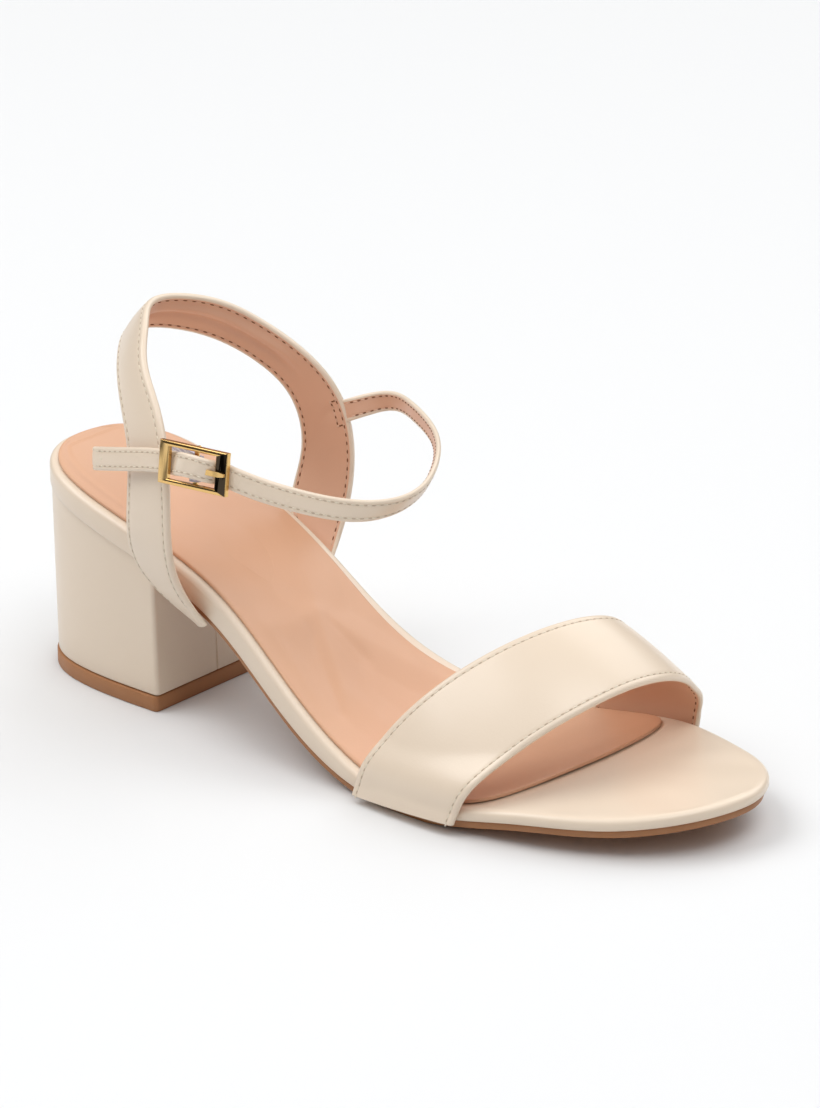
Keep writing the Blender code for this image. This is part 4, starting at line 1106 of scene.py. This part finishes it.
# Buckle: a cast and polished gold frame whose bars are slightly crowned, with a middle
# bar between two ears, a prong on that bar, and the white elastic loop round it.
def metal(name, color, roughness):
    made = plain_material(name, color, roughness, 1.0)
    tree = made.node_tree
    place = node(tree, "ShaderNodeTexCoord")
    wear = node(tree, "ShaderNodeTexNoise", {"Scale": 900.0, "Detail": 3.0})
    spread = node(tree, "ShaderNodeMapRange",
                  {"To Min": roughness * 0.7, "To Max": roughness * 1.4})
    link(place, "Object", wear, "Vector")
    link(wear, "Fac", spread, "Value")
    link(spread, "Result", tree.nodes["Principled BSDF"], "Roughness")
    return made


POLISHED = metal("polished_gold", (0.80, 0.52, 0.20), 0.07)
SATIN = metal("satin_gold", (0.80, 0.54, 0.23), 0.30)
# Near-black gold for the front bar's crown: a painted dark reflection, not the metal's own colour.
FRONT_BAR_PAINTED_REFLECTION = metal("gold_painted_dark_reflection", (0.060, 0.045, 0.030), 0.05)
BUCKLE_HEIGHT = 12.4
BUCKLE_REAR_BAR = 3.4
BUCKLE_FRONT_BAR = 2.9
BUCKLE_FRONT_PLATE = 4.1    # the front bar is a flat plate that reaches back over the strap
BUCKLE_RAIL = 1.5
MIDDLE_BAR_DEPTH = 1.1
MIDDLE_BAR_RADIUS = 0.75
EAR_DROP = 1.1
EAR_RADIUS = 0.7
BAR_PROFILE = [          # across a bar from the window to the outside: (share, height)
    (0.10, -0.95), (0.0, -0.80), (0.0, 0.45), (0.05, 0.66), (0.14, 0.80), (0.30, 0.90),
    (0.50, 0.95), (0.70, 0.90), (0.86, 0.80), (0.95, 0.66), (1.0, 0.45), (1.0, -0.80),
    (0.90, -0.95),
]
CROWN_FACES = range(3, 9)       # the faces of that profile that look outwards
BAR_SLOTS_WITH_PAINTED_REFLECTION = {1: 2, 3: 1}     # front bar's crown near black as a painted dark reflection, rear bar satin; the rails stay polished
half_length = (Vector(BUCKLE_FRONT) - Vector(BUCKLE_REAR)).length / 2
outer_top = BUCKLE_HEIGHT / 2
outer_front = half_length + BUCKLE_FRONT_BAR / 2
outer_rear = -half_length - BUCKLE_REAR_BAR / 2
inner_top = outer_top - BUCKLE_RAIL
inner_front = outer_front - BUCKLE_FRONT_PLATE
inner_rear = outer_rear + BUCKLE_REAR_BAR
inner_corners, outer_corners = ([(rear, -top), (front, -top), (front, top), (rear, top)]
                                for rear, front, top in ((inner_rear, inner_front, inner_top),
                                                         (outer_rear, outer_front, outer_top)))
frame_points = []
frame_faces = []
frame_slots = []
profile_size = len(BAR_PROFILE)
for inner, outer in zip(inner_corners, outer_corners):
    for share, height in BAR_PROFILE:
        along, up = (low + (high - low) * share for low, high in zip(inner, outer))
        frame_points.append(buckle_point(along, up, height))
for corner in range(4):
    lower, upper = (range(first, first + profile_size)
                    for first in (corner * profile_size, (corner + 1) % 4 * profile_size))
    frame_faces += ring_faces(lower, upper)
    crown = BAR_SLOTS_WITH_PAINTED_REFLECTION.get(corner, 0)
    frame_slots += [crown if face in CROWN_FACES else 0 for face in range(profile_size)]


def add_rod(start, end, radius, sides=20):
    """A closed rod between two places of the buckle, added to its frame."""
    start = np.array(buckle_point(*start))
    end = np.array(buckle_point(*end))
    axis = unit(end - start)
    one = unit(np.cross(axis, np.array(buckle_z)))
    two = np.cross(axis, one)
    first = len(frame_points)
    for spot in (start, end):
        frame_points.extend(circle(spot, one, two, radius, sides))
    lower = range(first, first + sides)
    upper = range(first + sides, first + 2 * sides)
    frame_faces.extend(ring_faces(lower, upper) + [tuple(lower)[::-1], tuple(upper)])
    frame_slots.extend([0] * (sides + 2))


rail_middle = outer_top - BUCKLE_RAIL / 2
ear_foot = -MIDDLE_BAR_DEPTH - EAR_DROP
add_rod((0.0, -rail_middle, -MIDDLE_BAR_DEPTH), (0.0, rail_middle, -MIDDLE_BAR_DEPTH),
        MIDDLE_BAR_RADIUS)
for place in (-rail_middle, rail_middle):
    add_rod((0.0, place, ear_foot), (0.0, place, 0.0), EAR_RADIUS)
buckle_frame = finished_object("buckle_frame_polished", frame_points, frame_faces,
                               [POLISHED, SATIN, FRONT_BAR_PAINTED_REFLECTION], frame_slots, 30.0)
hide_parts("buckle_frame")


def refinish(name, finish):
    for material_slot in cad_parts[name].material_slots:
        material_slot.material = finish


refinish("buckle_prong", POLISHED)

ELASTIC = plain_material("white_elastic", (0.74, 0.72, 0.74), 0.85)
weave = ELASTIC.node_tree
weave_place = node(weave, "ShaderNodeTexCoord")
zigzag = node(weave, "ShaderNodeTexWave", {"Scale": 260.0, "Distortion": 3.0, "Detail Scale": 4.0},
              wave_type="BANDS", bands_direction="Z", wave_profile="TRI")
two_yarns = node(weave, "ShaderNodeMix", {"A": (0.42, 0.38, 0.46, 1.0),
                                          "B": (0.76, 0.74, 0.75, 1.0)}, data_type="RGBA")
link(weave_place, "Object", zigzag, "Vector")
link(zigzag, "Fac", two_yarns, "Factor")
link(two_yarns, "Result", weave.nodes["Principled BSDF"], "Base Color")
refinish("buckle_keeper", ELASTIC)
